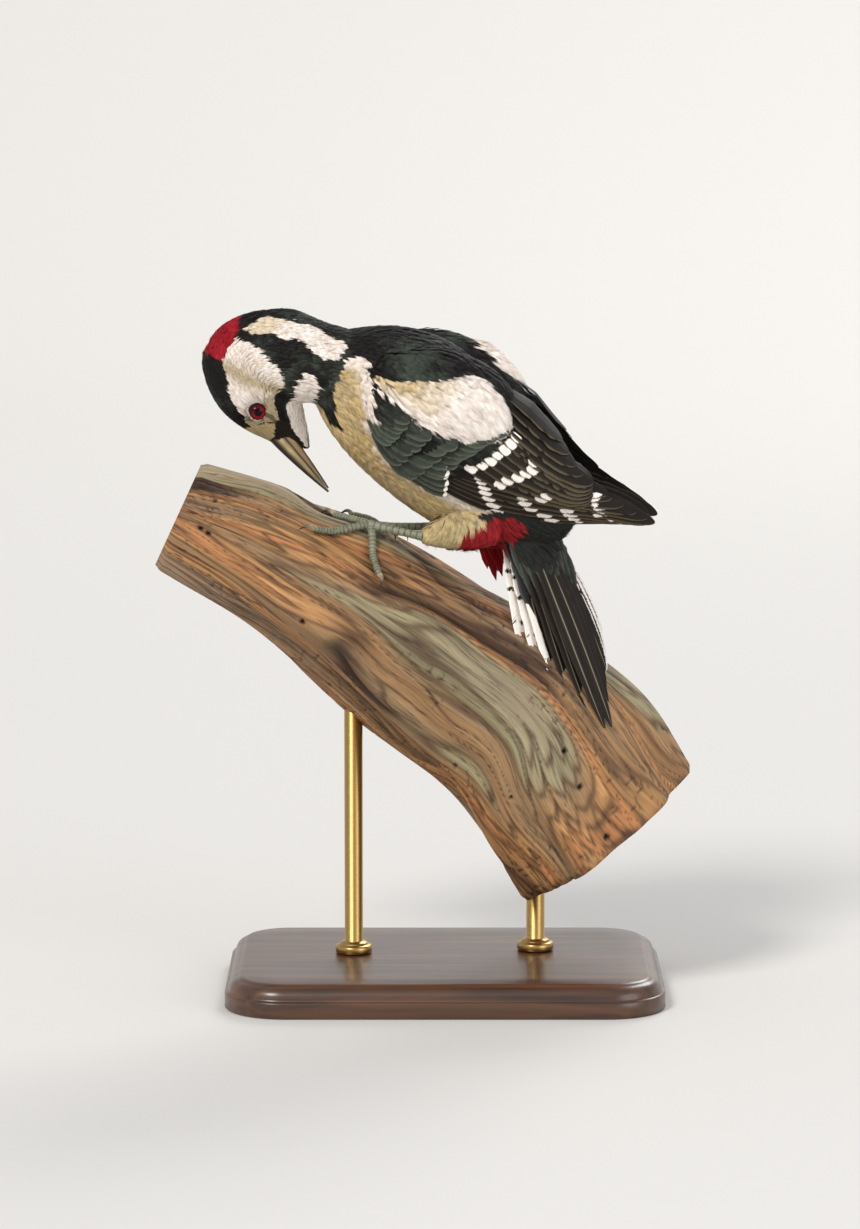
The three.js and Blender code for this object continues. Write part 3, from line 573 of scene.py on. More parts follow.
# Outlines of markings on the side of the head and neck: [x, z] in the head's frame.
CHEEK = [
    [-43.9, -9.4], [-40.5, -11.2], [-35.9, -12.9], [-31.4, -13.3], [-25.9, -13.8], [-20.4, -13.6],
    [-16.5, -11.2], [-14.5, -8.8], [-13.5, -6.7], [-11, -4.6], [-7.1, -3.6], [-3.8, -2.3], [-8, 3],
    [-9, 6.5], [-12, 8], [-15.3, 8], [-20, 7.6], [-24.4, 6.9], [-28.1, 6], [-30.5, 3.4], [-34, 2.2],
    [-38.8, 0.6], [-40, -0.8], [-41.1, -3.1], [-42.2, -6.1],
]
CHEEK_BUFF = [[-36, 0.7], [-25, -2.5], [-19, -6], [-14.3, -10.2]]  # a band across it
FOREHEAD = [
    [-9.8, 13], [-10.5, 7.4], [-8.5, 5.6], [-7.5, 2.4], [-3.8, -0.8], [-1.2, -0.3], [9, -0.3], [9, 13],
]
LORE = [[-10.5, 0.6], [-6.5, -0.8], [-1.5, -1.6]]  # a dim line from the eye to the mouth
BILL_ROOT_DARK = [
    [-5.5, -1.2], [-2.6, 0.6], [0.2, 4.2], [2.5, 5.4], [9, 4.5], [9, -4.7], [1, -4.8], [-2.5, -4.2],
    [-4.5, -2.8],
]
NAPE = [
    [-39.5, -0.7], [-41.2, -3.7], [-42.2, -6.1], [-43.8, -9.1], [-46.1, -12.2], [-49.2, -17], [-70, -19],
    [-70, 3.4], [-43.4, 2.8], [-42.5, 1.5], [-38.8, 0.7],
]
NECK_PATCH = [
    [-44.3, -14.9], [-44.8, -17.8], [-43.7, -21.9], [-42.3, -25.6], [-38.5, -27.9], [-35, -30.8],
    [-30.9, -34.5], [-27.9, -36.8], [-23.2, -37.9], [-19, -39], [-15.3, -41.2], [-12.1, -42.2],
    [-11.4, -39], [-11.2, -35], [-12.2, -32.1], [-15.6, -29.7], [-22.8, -28.9], [-29.1, -27.4],
    [-31, -23.9], [-34.2, -23.2], [-38.1, -19.8], [-41.6, -14.6],
]
THROAT = [
    [-15.9, -21.4], [-13.3, -23], [-9.3, -23.3], [-6.7, -22.2], [-4.2, -18.9], [-0.7, -16.5],
    [3.3, -12.7], [10, -7.2], [15, -7], [15, -4.6], [1.4, -4.8], [-3.2, -6.5], [-6.8, -7.9],
    [-8.3, -11.1], [-12.5, -13], [-15.3, -16.7],
]
# painted shade: the throat's underside in shadow along its rear edge
THROAT_SHADE = [[-2.3, -18], [3, -14.2], [9, -9.6], [14.8, -5.4]]  # its blue-grey rear edge
# Outlines on the torso: [x, degrees round from the back].
BREAST_BAND = [
    [70, 40], [47, 40], [47.6, 50], [50.2, 62], [52.4, 74], [52.3, 85.5], [50.1, 101],
    [46.2, 115.7], [41.5, 128.2], [35, 139], [36, 143], [41.8, 146.5], [46.1, 145.1], [50, 140.8],
    [52.9, 129.6], [56.6, 115.5], [60, 106], [70, 100],
]
# Where the black of the back ends: [x, degrees round from the back].
BACK_EDGE = [
    [66, 58], [50, 57], [47, 55], [43.3, 58], [41.8, 64.7], [34.1, 79.2], [29.9, 91.9],
    [24.2, 98.2], [20.7, 107], [12.3, 114], [4, 116], [-5.4, 115], [-15.4, 113], [-26.4, 108],
    [-38.9, 101.1], [-50.2, 92.4], [-72, 90],
]
# The red vent, over thigh, rump and the root of the tail: [x, z] in the world, the same on both sides.
VENT = [
    [7.9, 205.2], [11, 207.4], [13, 206], [15.2, 210], [19.6, 212], [26, 212], [34, 207], [31, 202.5],
    [28, 199], [26.8, 194], [25.3, 182], [21.3, 184], [14, 188], [9, 194.5], [6.4, 199.9],
]


def wing_place(body):
    """Place on the wing's shell of points in the body's frame: x and degrees round."""
    x = np.clip(body[:, 0], WING_SHELL[-1][0], WING_SHELL[0][0])
    return x, degrees_round(body[:, 1], body[:, 2] - columns(WING_SHELL, x)[0])


def patch_depth(body):
    """How deep points of the body lie inside the shoulder patch."""
    return shoulder_depth(*wing_place(body), body[:, 1] < 0)


def where(chosen, colour, tint):
    """The tint, with a colour in its place at the chosen points."""
    return np.where(chosen[:, None], colour, tint)


def underparts(tint, places, wander, cloud, fine):
    """Buff breast and belly with a pale fringe along the wing, the grey-buff thighs and the red vent."""
    x, turn, tail = places.body[:, 0], places.round, places.tail
    streak = noise(stacked(x / 9, turn / 3.2, places.part * 3.0), 8)[:, None]
    bound = columns(BACK_EDGE, x + wander[:, 0])[0]
    teeth = 5 * noise(stacked(x / 1.7, turn / 30, 0.0), 9) * smooth((x - 6) / 12)
    below = turn + wander[:, 1] * 3 + teeth - bound
    buff = mix(BUFF, DEEP_BUFF, smooth(0.4 + 0.4 * cloud + 0.6 * streak))
    fringe = smooth(1.55 - below / np.where(x > 12, 17, 11)) * smooth((x + 44) / 20)
    pale = mix(buff, mix(PINK_WHITE, WHITE, 0.5), np.clip(fringe[:, None] * 0.95 + 0.2 * streak, 0, 1))
    behind = smooth((-x - 6) / 24)[:, None]
    pale = mix(pale, GREY_BUFF, 0.55 * behind * (0.6 + 0.5 * streak))
    tint = where(places.on_torso & (below > 0), pale, tint)
    low = smooth((202 - places.world[:, 2:]) / 7)
    trousers = mix(pale, GREY_BUFF, 0.1 + 0.7 * low) * (1 + 0.12 * streak)
    tint = where(places.on_thigh, trousers, tint)
    stump = places.on_torso & (tail[:, 0] > -10)
    # the tail's root black, with a little painted sheen
    tint = where(stump, mix(BLACK, GREEN_SHEEN, 0.2), tint)
    red = inside(VENT, places.world[:, 0] + wander[:, 0] * 2, places.world[:, 2] + wander[:, 1] * 2)
    red |= stump & (tail[:, 2] < -3) & (np.abs(tail[:, 1]) < 9)
    vent = red & (places.on_torso | places.on_thigh) & (turn > 70)
    return where(vent, VENT_RED * (0.86 + 0.22 * fine + 0.1 * streak), tint), pale


def head_marks(tint, places, wander, fine):
    """White cheek, neck patch and throat, red nape, buff forehead and a dark line before the eye, with
    painted shade along the throat's rear edge.
    """
    x, z = places.head[:, 0] + wander[:, 0], places.head[:, 2] + wander[:, 1]
    neck = places.on_neck | places.on_head
    crescent = bell(x - EYE["x"] + 6, 1.8) * bell(z - EYE["z"] - 0.4, 4.2)
    warm = np.maximum(bell(line_gap(CHEEK_BUFF, x, z), 3.2), smooth((x + 18.5) / 5))
    warm = np.clip(warm * 0.85 * (1 - crescent), 0, 1)[:, None]
    tip = smooth((-33 - x) / 7)[:, None]
    beside = places.on_torso & (places.body[:, 0] > 36) & (places.round < 90)
    pink = mix(WHITE, PINK_WHITE, 0.4 + 0.6 * fine)
    shade = mix(DEEP_BUFF, GREY_BUFF, 0.4)
    marks = [
        (inside(CHEEK, x, z) & neck, mix(mix(WHITE, PINK_WHITE, 0.5 + 0.5 * fine), shade, warm)),
        (inside(FOREHEAD, x, z) & neck, mix(BUFF, GREY_BUFF, 0.35 + 0.3 * fine)),
        ((line_gap(LORE, x, z) < 0.7) & neck & (x < 0), mix(BROWN_BLACK, GREY_BUFF, 0.35)),
        (inside(BILL_ROOT_DARK, x, z) & neck, mix(BLACK, BROWN_BLACK, 0.6)),
        (inside(NECK_PATCH, x, z) & (neck | beside), mix(pink, mix(BUFF, WHITE, 0.3), tip * 0.8)),
        (inside(THROAT, x, z) & neck, mix(WHITE, PINK_WHITE, 0.4 + 0.4 * fine)),
        # painted shade along the throat's rear edge
        ((line_gap(THROAT_SHADE, x, z) < 1.7) & neck & (x > -5), SHADED_BLUE_GREY),
        (inside(NAPE, x, z) & neck, NAPE_RED * (0.88 + 0.25 * fine)),
    ]
    for chosen, colour in marks:
        tint = where(chosen, colour, tint)
    return tint


def coat_marks(places):
    """Colour of the coat at places of the skin, by its markings, with painted sheen on the black and painted
    shade in the partings of the shoulder patch.
    """
    body, points = places.body, places.world
    wander = np.stack([noise(points / 2.2, k) for k in (1, 2)], -1) * 0.4
    cloud, fine, broad = (noise(points / size, seed)[:, None] for size, seed in ((9, 5), (2.5, 6), (16, 7)))
    # painted sheen: soft grey-green patches over the black
    black = mix(BLACK, GREEN_SHEEN, smooth(0.1 + 0.5 * cloud + 0.6 * broad + 0.4 * fine) * 0.85)
    tint, pale = underparts(black, places, wander, cloud, fine)
    tint = where(places.on_neck & (places.neck_round > 160) & (places.head[:, 2] < -12), pale, tint)
    band = inside(BREAST_BAND, body[:, 0] + wander[:, 0], places.round + wander[:, 1] * 2)
    tint = where(band & ~places.on_head, black, tint)
    tint = head_marks(tint, places, wander, fine)
    x, turn = wing_place(body)
    far = body[:, 1] < 0
    deep = shoulder_depth(x + wander[:, 0] - 2.0, turn + wander[:, 1] * 2, far) + far * FAR_WIDER
    warm = (smooth((x - 3) / 22) * smooth((80 - turn) / 10))[:, None]
    # painted shade: rose-grey, and deeper buff, in the partings between the patch's lobes
    parting_shade = 0.6 * bell(noise(stacked(x / 11, turn / 5.5, far * 9.0), 24)[:, None], 0.09)
    white = mix(mix(WHITE, PINK_WHITE, 0.3 + 0.4 * fine), SHADE_ROSE_GREY, parting_shade)
    patch = mix(white, mix(BUFF, DEEP_BUFF, parting_shade), np.clip(warm * (0.85 + 0.3 * fine), 0, 1))
    return where((deep > 0) & places.on_torso, patch, tint)


# ---------------------------------------------------------------- materials


class Finish:
    """A material in the making. surface holds the values of its shader."""

    def __init__(self, name, surface):
        self.material = bpy.data.materials.new(name)
        self.material.use_nodes = True
        self.tree = self.material.node_tree
        self.shader = self.tree.nodes["Principled BSDF"]
        self.feed(self.shader, surface)

    def feed(self, made, inputs):
        """Sets or links the inputs of a node, by name or number."""
        for key, value in inputs.items():
            if isinstance(value, bpy.types.NodeSocket):
                self.tree.links.new(value, made.inputs[key])
            else:
                made.inputs[key].default_value = value

    def add(self, kind, *values, named=(), **settings):
        """The outputs of a new node, whose inputs are given in their order or by name."""
        made = self.tree.nodes.new("ShaderNode" + kind)
        for key, value in settings.items():
            setattr(made, key, value)
        self.feed(made, dict(enumerate(values)) | dict(named))
        return made.outputs

    def maths(self, operation, *values):
        """A sum or other operation on numbers."""
        return self.add("Math", *values, operation=operation)[0]

    def painted(self, name, output="Color"):
        """A point attribute of the mesh."""
        return self.add("Attribute", attribute_name=name)[output]

    def speckles(self, place, scale, detail, distortion=0.0):
        """Noise of a scale along each axis."""
        lie = self.add("Mapping", place, named={"Scale": scale})[0]
        return self.add("TexNoise", lie, named={"Scale": 1.0, "Detail": detail, "Distortion": distortion})[0]

    def tinted(self, colour, value, low, high):
        """A colour made darker and lighter by a value from 0 to 1."""
        scale = self.add("MapRange", value, named={"To Min": low, "To Max": high})[0]
        return self.add("VectorMath", colour, named={"Scale": scale}, operation="SCALE")[0]

    def done(self, colour, height, distance, strength=1.0):
        """The material with its colour, and bumps of a height and their distance in metres."""
        bumps = {"Strength": strength, "Distance": distance, "Height": height}
        self.feed(self.shader, {"Base Color": colour, "Normal": self.add("Bump", named=bumps)["Normal"]})
        return self.material


def feather_material(name, along_barb, across_barb, slant, roughness, spread, marked):
    """Feathers: the painted tint with fine barbs, by the map Vane, which holds the place across the
    feather from its shaft and along it in millimetres. Where it is marked, it is white where the
    attribute Mark is over 0."""
    finish = Finish(name, {
        "Roughness": roughness, "Specular IOR Level": 0.2, "Sheen Weight": 0.03, "Sheen Roughness": 0.4,
    })
    across, along = finish.add("SeparateXYZ", finish.add("UVMap", uv_map="Vane")[0])[:2]
    barb = finish.maths("MULTIPLY_ADD", finish.maths("ABSOLUTE", across), -slant, along)
    place = finish.add("CombineXYZ", across, barb)[0]
    barbs = finish.speckles(place, (along_barb, across_barb, 1), 3.0)
    tint = finish.painted("Tint")
    if marked:
        wander = finish.maths("MULTIPLY_ADD", barbs, 1.6, -0.8)
        depth = finish.maths("ADD", finish.painted("Mark", "Fac"), wander)
        edge = finish.add("MapRange", depth, named={"From Min": -0.14, "From Max": 0.14})[0]
        inputs = {"Factor": edge, "A": tint, "B": (*WHITE, 1)}
        tint = finish.add("Mix", named=inputs, data_type="RGBA")["Result"]
    return finish.done(finish.tinted(tint, barbs, 1 - spread, 1 + spread), barbs, 0.00022, 0.6)


def tint_material(name, roughness, grain, depth, spread, specular=0.4):
    """A painted tint with fine grain of a size in metres."""
    finish = Finish(name, {"Roughness": roughness, "Specular IOR Level": specular})
    place = finish.add("TexCoord")["Object"]
    speck = finish.add("TexNoise", place, named={"Scale": 1 / grain, "Detail": 4.0})[0]
    return finish.done(finish.tinted(finish.painted("Tint"), speck, 1 - spread, 1 + spread), speck, depth)


TUFT_FINISH = feather_material("body_feathers", 3.2, 0.3, 0.5, 0.6, 0.34, False)
VANE_FINISH = feather_material("flight_feathers", 0.3, 2.4, 0.9, 0.56, 0.3, True)
SKIN_FINISH = tint_material("skin_under_coat", 0.8, 0.0008, 0.0002, 0.3)
EYE_FINISH = tint_material("eye_wet", 0.12, 0.0006, 0.00001, 0.12, specular=0.14)
BILL_FINISH = tint_material("bill_horn", 0.38, 0.0012, 0.00012, 0.16)
LEG_FINISH = tint_material("leg_scales", 0.5, 0.0007, 0.00012, 0.22)
CLAW_FINISH = tint_material("claw_horn", 0.28, 0.001, 0.00005, 0.15, specular=0.55)

# ---------------------------------------------------------------- small feathers

TUFT_ROWS = [0, 0.34, 0.7, 1]  # shares of the length, from the root to where the tip's points begin
TUFT_WIDTHS = [0.4, 0.86, 1, 0.92]  # at each row, as shares of the width
TRIES = 3.2  # roots that are tried for each square of the spacing
SEEN_FROM = 0.7  # share of the length where the next tufts leave one open, which gives it its colour
# painted shade at each tuft's root, where the next tufts cover it
ROOT_SHADE = 0.78  # brightness at the root, as a share of that at the tip
ROOT_SUNK = 0.35  # how deep the root lies under the skin
TUFT_CUP = 0.35  # how far the sides bend down, as a share of the half width
TUFT_YAW = 0.1  # spread of the turn about the lie of the coat
TIP_REACH = [0.55, 1.35]  # least and greatest length of a point at the tip, as a share of the usual one
TIP_LIFT = 0.08  # spread of the points' height
# The coat's baking map: stretches of head and body along their frames, and the heights on the map that
# each part takes up.
HEAD_SPAN = [-49, 24]
BODY_SPAN = [-76, 68]
HEAD_ON_MAP = [0.74, 0.98]
NECK_ON_MAP = [0.56, 0.72]
BODY_ON_MAP = [0.02, 0.52]
MAP_HALF = 0.47  # from the middle of the back to the middle of the belly
BAKE_PATCH = 0.003  # size of one tuft's patch on the baking map
BARB_SHIFT = 900  # each feather's barbs start somewhere in this length, so that no two look alike


def scattered(rng, spacing_at, wanted):
    """Places on the skin kept apart by a spacing that depends on the place."""
    corners = SKIN_POINTS[SKIN_FACES]
    diagonals = np.cross(corners[:, 2] - corners[:, 0], corners[:, 3] - corners[:, 1])
    area = np.linalg.norm(diagonals, axis=1) / 2
    places = coat_places(corners.mean(1))
    spacing = spacing_at(places)
    weight = area * wanted(places) / spacing**2
    tries = int(weight.sum() * TRIES * FEWER)
    pick = rng.choice(len(area), tries, p=weight / weight.sum())
    u, v = rng.random((2, tries, 1))
    c = corners[pick]
    points = mix(mix(c[:, 0], c[:, 1], u), mix(c[:, 3], c[:, 2], u), v)
    apart = spacing[pick] / math.sqrt(FEWER)
    tree = KDTree(tries)
    for index, point in enumerate(points.tolist()):
        tree.insert(point, index)
    tree.balance()
    free = np.ones(tries, bool)
    kept = []
    for index in range(tries):
        if free[index]:
            kept.append(index)
            free[[found[1] for found in tree.find_range(points[index], apart[index])]] = False
    return points[kept]


def unwrap(places):
    """Place of each root on an unwrap of the skin: along the bird from tail to bill, and round it."""
    body, head, on = places.body, places.head, [places.on_head, places.on_neck]
    head_share = (np.clip(head[:, 0], *HEAD_SPAN) - HEAD_SPAN[0]) / np.ptp(HEAD_SPAN)
    body_share = (body[:, 0] - BODY_SPAN[0]) / np.ptp(BODY_SPAN)
    of_head, of_neck = mix(*HEAD_ON_MAP, head_share), mix(*NECK_ON_MAP, places.neck_t)
    along = np.select(on, [of_head, of_neck], mix(*BODY_ON_MAP, body_share))
    turn = np.select(on, [degrees_round(head[:, 1], head[:, 2] + 3), places.neck_round], places.round)
    side = np.where(places.on_head, head[:, 1], body[:, 1])
    return np.stack([0.5 + np.sign(side) * turn / 180 * MAP_HALF, along], -1)


def tufts(name, roots, sizes, rng, lobes):
    """Small feathers that follow the skin from their roots, each with a tip of narrow points. sizes
    gives length, width and the tip's height above the skin for each root."""
    count, rows, across = len(roots), len(TUFT_ROWS), np.linspace(-1, 1, lobes + 1)
    length, width, rise = (size[:, None] for size in sizes)
    places = coat_places(roots)
    patch = unwrap(places)
    point, normal = on_skin(roots)
    yaw = rng.normal(0, TUFT_YAW, (count, 1))
    direction = lie_of_coat(normal, places)
    direction = unit(direction + np.cross(normal, direction) * yaw)
    spine, normals, aheads = [point], [normal], [direction]
    for before, after in zip(TUFT_ROWS, TUFT_ROWS[1:]):
        point, normal = on_skin(point + direction * length * (after - before))
        places = coat_places(point)
        if after == SEEN_FROM:
            base_tint = coat_marks(places)
        flow = lie_of_coat(normal, places)
        flow = unit(flow + np.cross(normal, flow) * yaw)
        direction = unit(direction - normal * dot(direction, normal)[:, None])
        direction = unit(mix(direction, flow, 0.5))
        spine.append(point)
        normals.append(normal)
        aheads.append(direction)
    spine, normals, aheads = (np.stack(steps, 1)[:, :, None] for steps in (spine, normals, aheads))
    sides = np.cross(aheads, normals)

    share = np.array(TUFT_ROWS)[:, None]
    half = (width / 2 * TUFT_WIDTHS)[..., None]
    high = -ROOT_SUNK * (1 - share) + rise[..., None] * share**0.8 - TUFT_CUP * half * across**2
    vanes = spine + sides * (across * half)[..., None] + normals * high[..., None]
    middle = (across[1:] + across[:-1]) / 2
    reach = length * (0.3 - 0.17 * middle**2) * rng.uniform(*TIP_REACH, (count, lobes))
    aside = width / 2 * (middle * 0.95 + rng.normal(0, 0.07, (count, lobes)))
    lift = rise * 1.02 - 0.3 * width / 2 * middle**2 + rng.normal(0, TIP_LIFT, (count, lobes))
    tips = spine[:, -1] + aheads[:, -1] * reach[..., None]
    tips = tips + sides[:, -1] * aside[..., None] + normals[:, -1] * lift[..., None]
    points = np.concatenate([vanes.reshape(count, -1, 3), tips], 1)

    faces = grid_faces(rows, lobes + 1)
    edge = (rows - 1) * (lobes + 1) + np.arange(lobes)
    tip_faces = np.stack([edge, edge + 1, rows * (lobes + 1) + np.arange(lobes)], -1)
    faces = np.concatenate([faces[:, [0, 1, 2]], faces[:, [0, 2, 3]], tip_faces])
    faces = faces + (np.arange(count) * points.shape[1])[:, None, None]
    vane_map = stacked(across / 2 + 0.5, share * 0.8).reshape(-1, 2)
    maps = np.concatenate([vane_map, stacked(middle / 2 + 0.5, 1.0)])
    # painted shade: darker towards each root
    tones = np.tile(np.repeat(mix(ROOT_SHADE, 1.0, share), lobes + 1), (count, 1))
    tones = np.concatenate([tones, 1 + rng.normal(0, 0.07, (count, lobes))], 1)
    tones = tones * (1 + rng.normal(0, 0.06, (count, 1)))
    tint = base_tint[:, None] * np.clip(tones, 0.3, 1.6)[..., None]
    bake = patch[:, None] + (maps - 0.5) * BAKE_PATCH
    lies = (maps - [0.5, 0]) * np.stack([width, length], -1) + [0, 1] * rng.random((count, 1, 1)) * BARB_SHIFT
    maps = {"Vane": lies.reshape(-1, 2), "OFBake": bake.reshape(-1, 2)}
    piece = mesh_object(name, points, faces.reshape(-1, 3), tint.reshape(-1, 3), maps)
    return finish_piece(piece, TUFT_FINISH)


# ---------------------------------------------------------------- gathering shapes into pieces


def outward(points, faces):
    """The faces of a closed shape, turned so that they face out."""
    a = points[faces[:, 0]]
    pairs = zip(faces.T[1:], faces.T[2:])
    volume = sum(dot(a, np.cross(points[b], points[c])).sum() for b, c in pairs)
    return faces if volume > 0 else faces[:, ::-1]


UNMARKED = -9.0  # a mark well below 0, so that nothing is white


class Pile:
    """Closed shapes gathered to make one mesh."""

    def __init__(self):
        self.values, self.faces, self.count = [], [], 0

    def add(self, points, faces, tint, vane=(0, 0), bake=(0, 0), mark=UNMARKED):
        """Adds a closed shape, with values for all of it or for each point."""
        points = np.asarray(points, float).reshape(-1, 3)
        values = ((points, 3), (tint, 3), (vane, 2), (bake, 2), (np.reshape(mark, (-1, 1)), 3))
        self.values.append([np.broadcast_to(value, (len(points), size)) for value, size in values])
        self.faces.append(outward(points, faces) + self.count)
        self.count += len(points)

    def add_tube(self, grid, tint):
        """A closed tube, with a tint for all of it or for each point of its grid."""
        tint = np.broadcast_to(tint, grid.shape)
        self.add(*closed_tube(grid), np.concatenate([tint[:1], tint, tint[-1:]]).reshape(-1, 3))
        return self

    def piece(self, name, material, slot, replaced=(), mapped=False):
        """The mesh of all that was added. mapped gives it its UV maps."""
        points, tint, vane, bake, mark = (np.concatenate(values) for values in zip(*self.values))
        maps = {"Vane": vane, "OFBake": bake} if mapped else {}
        made = mesh_object(name, points, np.concatenate(self.faces), tint, maps, {"Mark": mark})
        return finish_piece(made, material, replaced)


# ---------------------------------------------------------------- large feathers

VANE_COLUMNS = 9
VANE_THICK = 0.25
VANE_SLOPE = 0.14  # the outer edge lies this much over the inner one, for each millimetre between them
VANE_CURVE = 34  # radius across a vane
BARB_SLANT = 0.6
SHAFT_HIGH = 0.13
SHAFT_WIDE = 0.05
# Notches in a feather's edges: least and greatest share of the length and of the half width.
NOTCH_PLACES = [0.3, 0.97]
NOTCH_DEPTHS = [0.06, 0.2]
NOTCH_LONG = 1.5
SHORT_FEATHER = 45  # a shorter feather of the wing has half as many rows of points
BAKE_CELLS = 12  # each large feather has one cell of a grid on the baking map
UNDER_TONE = 0.8  # brightness of a large feather's lower face

# Tiers of the wing, from the lowest to the topmost. Each runs from its outermost feather to its
# innermost: root and tip as [x, degrees round], width, height above the shell, the share of the length
# in which it comes up to that height, sideways bow in degrees, where the shaft lies across it, and the
# share of the length where its tip begins to round off. longest is the place in the row of the longest
# primary, and reach says how much longer it makes that one.
WING_TIERS = [
    {"name": "primaries", "count": 9, "width": [9, 9.5], "height": [0.2, 1.9], "run": 0.25, "bow": -1,
     "shaft": 0.5, "round": 0.72, "root": [[-4, 111], [-20, 95]], "tip": [[-86, 123], [-74, 50]],
     "longest": 0.4, "reach": 18},
    {"name": "secondaries", "count": 7, "width": [12, 12.5], "height": [2.3, 3.2], "run": 0.35, "bow": 1,
     "shaft": 0.35, "round": 0.78, "root": [[-9, 91], [-9, 46]], "tip": [[-70, 86], [-66, 42]]},
    {"name": "tertials", "count": 5, "width": [12.5, 14], "height": [3.4, 4.4], "run": 0.45, "bow": 2,
     "shaft": 0.1, "round": 0.62, "root": [[-10, 50], [-8, 22]], "tip": [[-66, 45], [-44, 17]]},
    {"name": "primary_coverts", "count": 6, "width": [7, 7.5], "height": [2.4, 3.1], "run": 0.9, "bow": 1,
     "shaft": 0.3, "round": 0.6, "root": [[12, 114], [8, 102]], "tip": [[-18, 116], [-12, 98]]},
    {"name": "greater_coverts", "count": 9, "width": [9.5, 10], "height": [3.2, 3.8], "run": 0.9, "bow": 2,
     "shaft": 0.15, "round": 0.55, "root": [[8, 98], [0, 56]], "tip": [[-13, 94], [-23, 54]]},
    {"name": "median_coverts", "count": 6, "width": [9.5, 10], "height": [3.7, 4.1], "run": 0.9, "bow": 1,
     "shaft": 0.05, "round": 0.5, "root": [[17, 113], [12, 87]], "tip": [[-3, 113], [-8, 84]]},
    {"name": "upper_lesser_coverts", "count": 6, "width": [8.5, 9], "height": [3.9, 4.3], "run": 0.9,
     "bow": 1, "shaft": 0, "round": 0.45, "root": [[24, 110], [22, 88]], "tip": [[6, 112], [2, 88]]},
    {"name": "front_lesser_coverts", "count": 6, "width": [8, 8.5], "height": [3.3, 4.0], "run": 0.9,
     "bow": 1, "shaft": 0, "round": 0.45, "root": [[29, 104], [31, 86]], "tip": [[14, 106], [13, 88]]},
]
QUILL_SUNK = 1.6  # how deep the root of a wing feather lies in the flesh
# White bars across the wing: [degrees round, x]. The first two lie on the secondaries.
SECONDARY_BARS = [
    [[40, -26], [55, -26], [68, -25.6], [75, -23.6], [83, -23.2], [89, -22.4], [93, -20.6], [99, -18.4]],
    [[40, -36], [60, -37.7], [69, -39.6], [76.6, -38.1], [83, -36.6], [87.7, -34.4], [99, -32]],
    [[60, -110], [83, -110], [84, -52.5], [92, -50.7], [99, -50]],
]
PRIMARY_BARS = [
    [[94, -16], [100.6, -21.8], [102.9, -24.8], [105.6, -27.6], [110.5, -30.3], [114.8, -34.4], [122, -39]],
    [[88, -32], [95.7, -36.3], [99.8, -40.4], [103.8, -44.3], [109.6, -46.5], [115, -53], [122, -60]],
    [[78, -50], [91, -52.5], [104, -61.6], [117, -67], [124, -70]],
    [[76, -68], [86, -72.1], [103.6, -74.9], [114.6, -82.7], [122, -86]],
]


def directions(at, t):
    """Place and directions at t of a line that at(t, lift) gives."""
    middle = at(t, 0)
    ahead = unit(at(np.minimum(1, t + 0.04), 0) - at(np.maximum(0, t - 0.04), 0))
    out = unit(at(t, 1) - middle)
    return middle, unit(np.cross(out, ahead)), out


def vane_rows(count, roundness):
    """Shares of the length with rows of points, closer where the tip rounds off."""
    body_rows = np.linspace(0, roundness, count - 9, endpoint=False)
    return np.concatenate([body_rows, roundness + (1 - roundness) * np.sin(np.linspace(0, math.pi / 2, 9))])


def vane_share(t, roundness, point):
    """Half width of a feather along its length, as a share of its widest."""
    opening = np.minimum(1, 0.5 + t * 1.4)
    closing = np.maximum(0, 1 - np.maximum(0, (t - roundness) / (1 - roundness)) ** 2) ** point
    return np.maximum(0.06, opening * closing)


def vane(pile, at, length, width, shape, rng, paint, outer_side, cell):
    """One large feather. at(t, lift) is its middle line, outer_side the sign of its outer edge, and
    paint(t, across share, distance from the outer edge) gives tint and mark."""
    shaft = shape["shaft"]
    places = np.sort([*np.linspace(-1, 1, VANE_COLUMNS), shaft - 0.07, shaft + 0.001, shaft + 0.07])
    t, u = np.meshgrid(vane_rows(shape["rows"], shape["round"]), places, indexing="ij")
    half = width / 2 * vane_share(t, shape["round"], shape.get("point", 0.5))
    ragged = 0.05 * noise(stacked(t * length / 1.6, np.sign(u) * 5, rng.random() * 99))
    for side in (-1, 1):
        for _ in range(shape.get("notches", 2)):
            place, deep = rng.uniform(*NOTCH_PLACES), rng.uniform(*NOTCH_DEPTHS)
            ragged -= (u * side > 0) * deep * np.clip(1 - np.abs(t - place) * length / NOTCH_LONG, 0, 1)
    s = half * u * (1 + ragged * np.abs(u) ** 3)
    slant = BARB_SLANT * np.abs(s - half * shaft) / length * (1 - t**3)
    reached = np.minimum(1, t + slant)
    middle, across, out = directions(at, reached)
    ridge = SHAFT_HIGH * bell(u - shaft, SHAFT_WIDE) * (1 - 0.5 * t)
    rise = shape.get("slope", VANE_SLOPE) * s - s * s / (2 * shape.get("curve", VANE_CURVE))
    place = middle + across * (outer_side * s)[..., None]
    upper = place + out * (rise + ridge)[..., None]
    lower = place + out * (rise - VANE_THICK * (1 - 0.5 * u * u))[..., None]
    line = 0.8 * bell(u - shaft, 0.045)[..., None]
    tints, marks = [], []
    for side_paint, tone in ((paint, 1.0), (shape.get("under", paint), UNDER_TONE)):
        tint, mark = side_paint(reached, u, half - s)
        tints.append(tone * mix(tint, shape.get("shaft_tint", tint * 1.7), line).reshape(-1, 3))
        marks.append(mark.ravel())
    vanes = stacked(s - half * shaft, reached * length + rng.random() * BARB_SHIFT).reshape(-1, 2)
    low = np.array([cell % BAKE_CELLS, cell // BAKE_CELLS])
    spot = stacked((u + 1) * 0.22 + 0.03, t * 0.94 + 0.03).reshape(-1, 2)
    bakes = np.concatenate([low + spot, low + spot + [0.49, 0]]) / BAKE_CELLS
    pile.add(
        *slab(upper, lower), np.concatenate(tints), vane=np.concatenate([vanes, vanes]), bake=bakes,
        mark=np.concatenate(marks),
    )


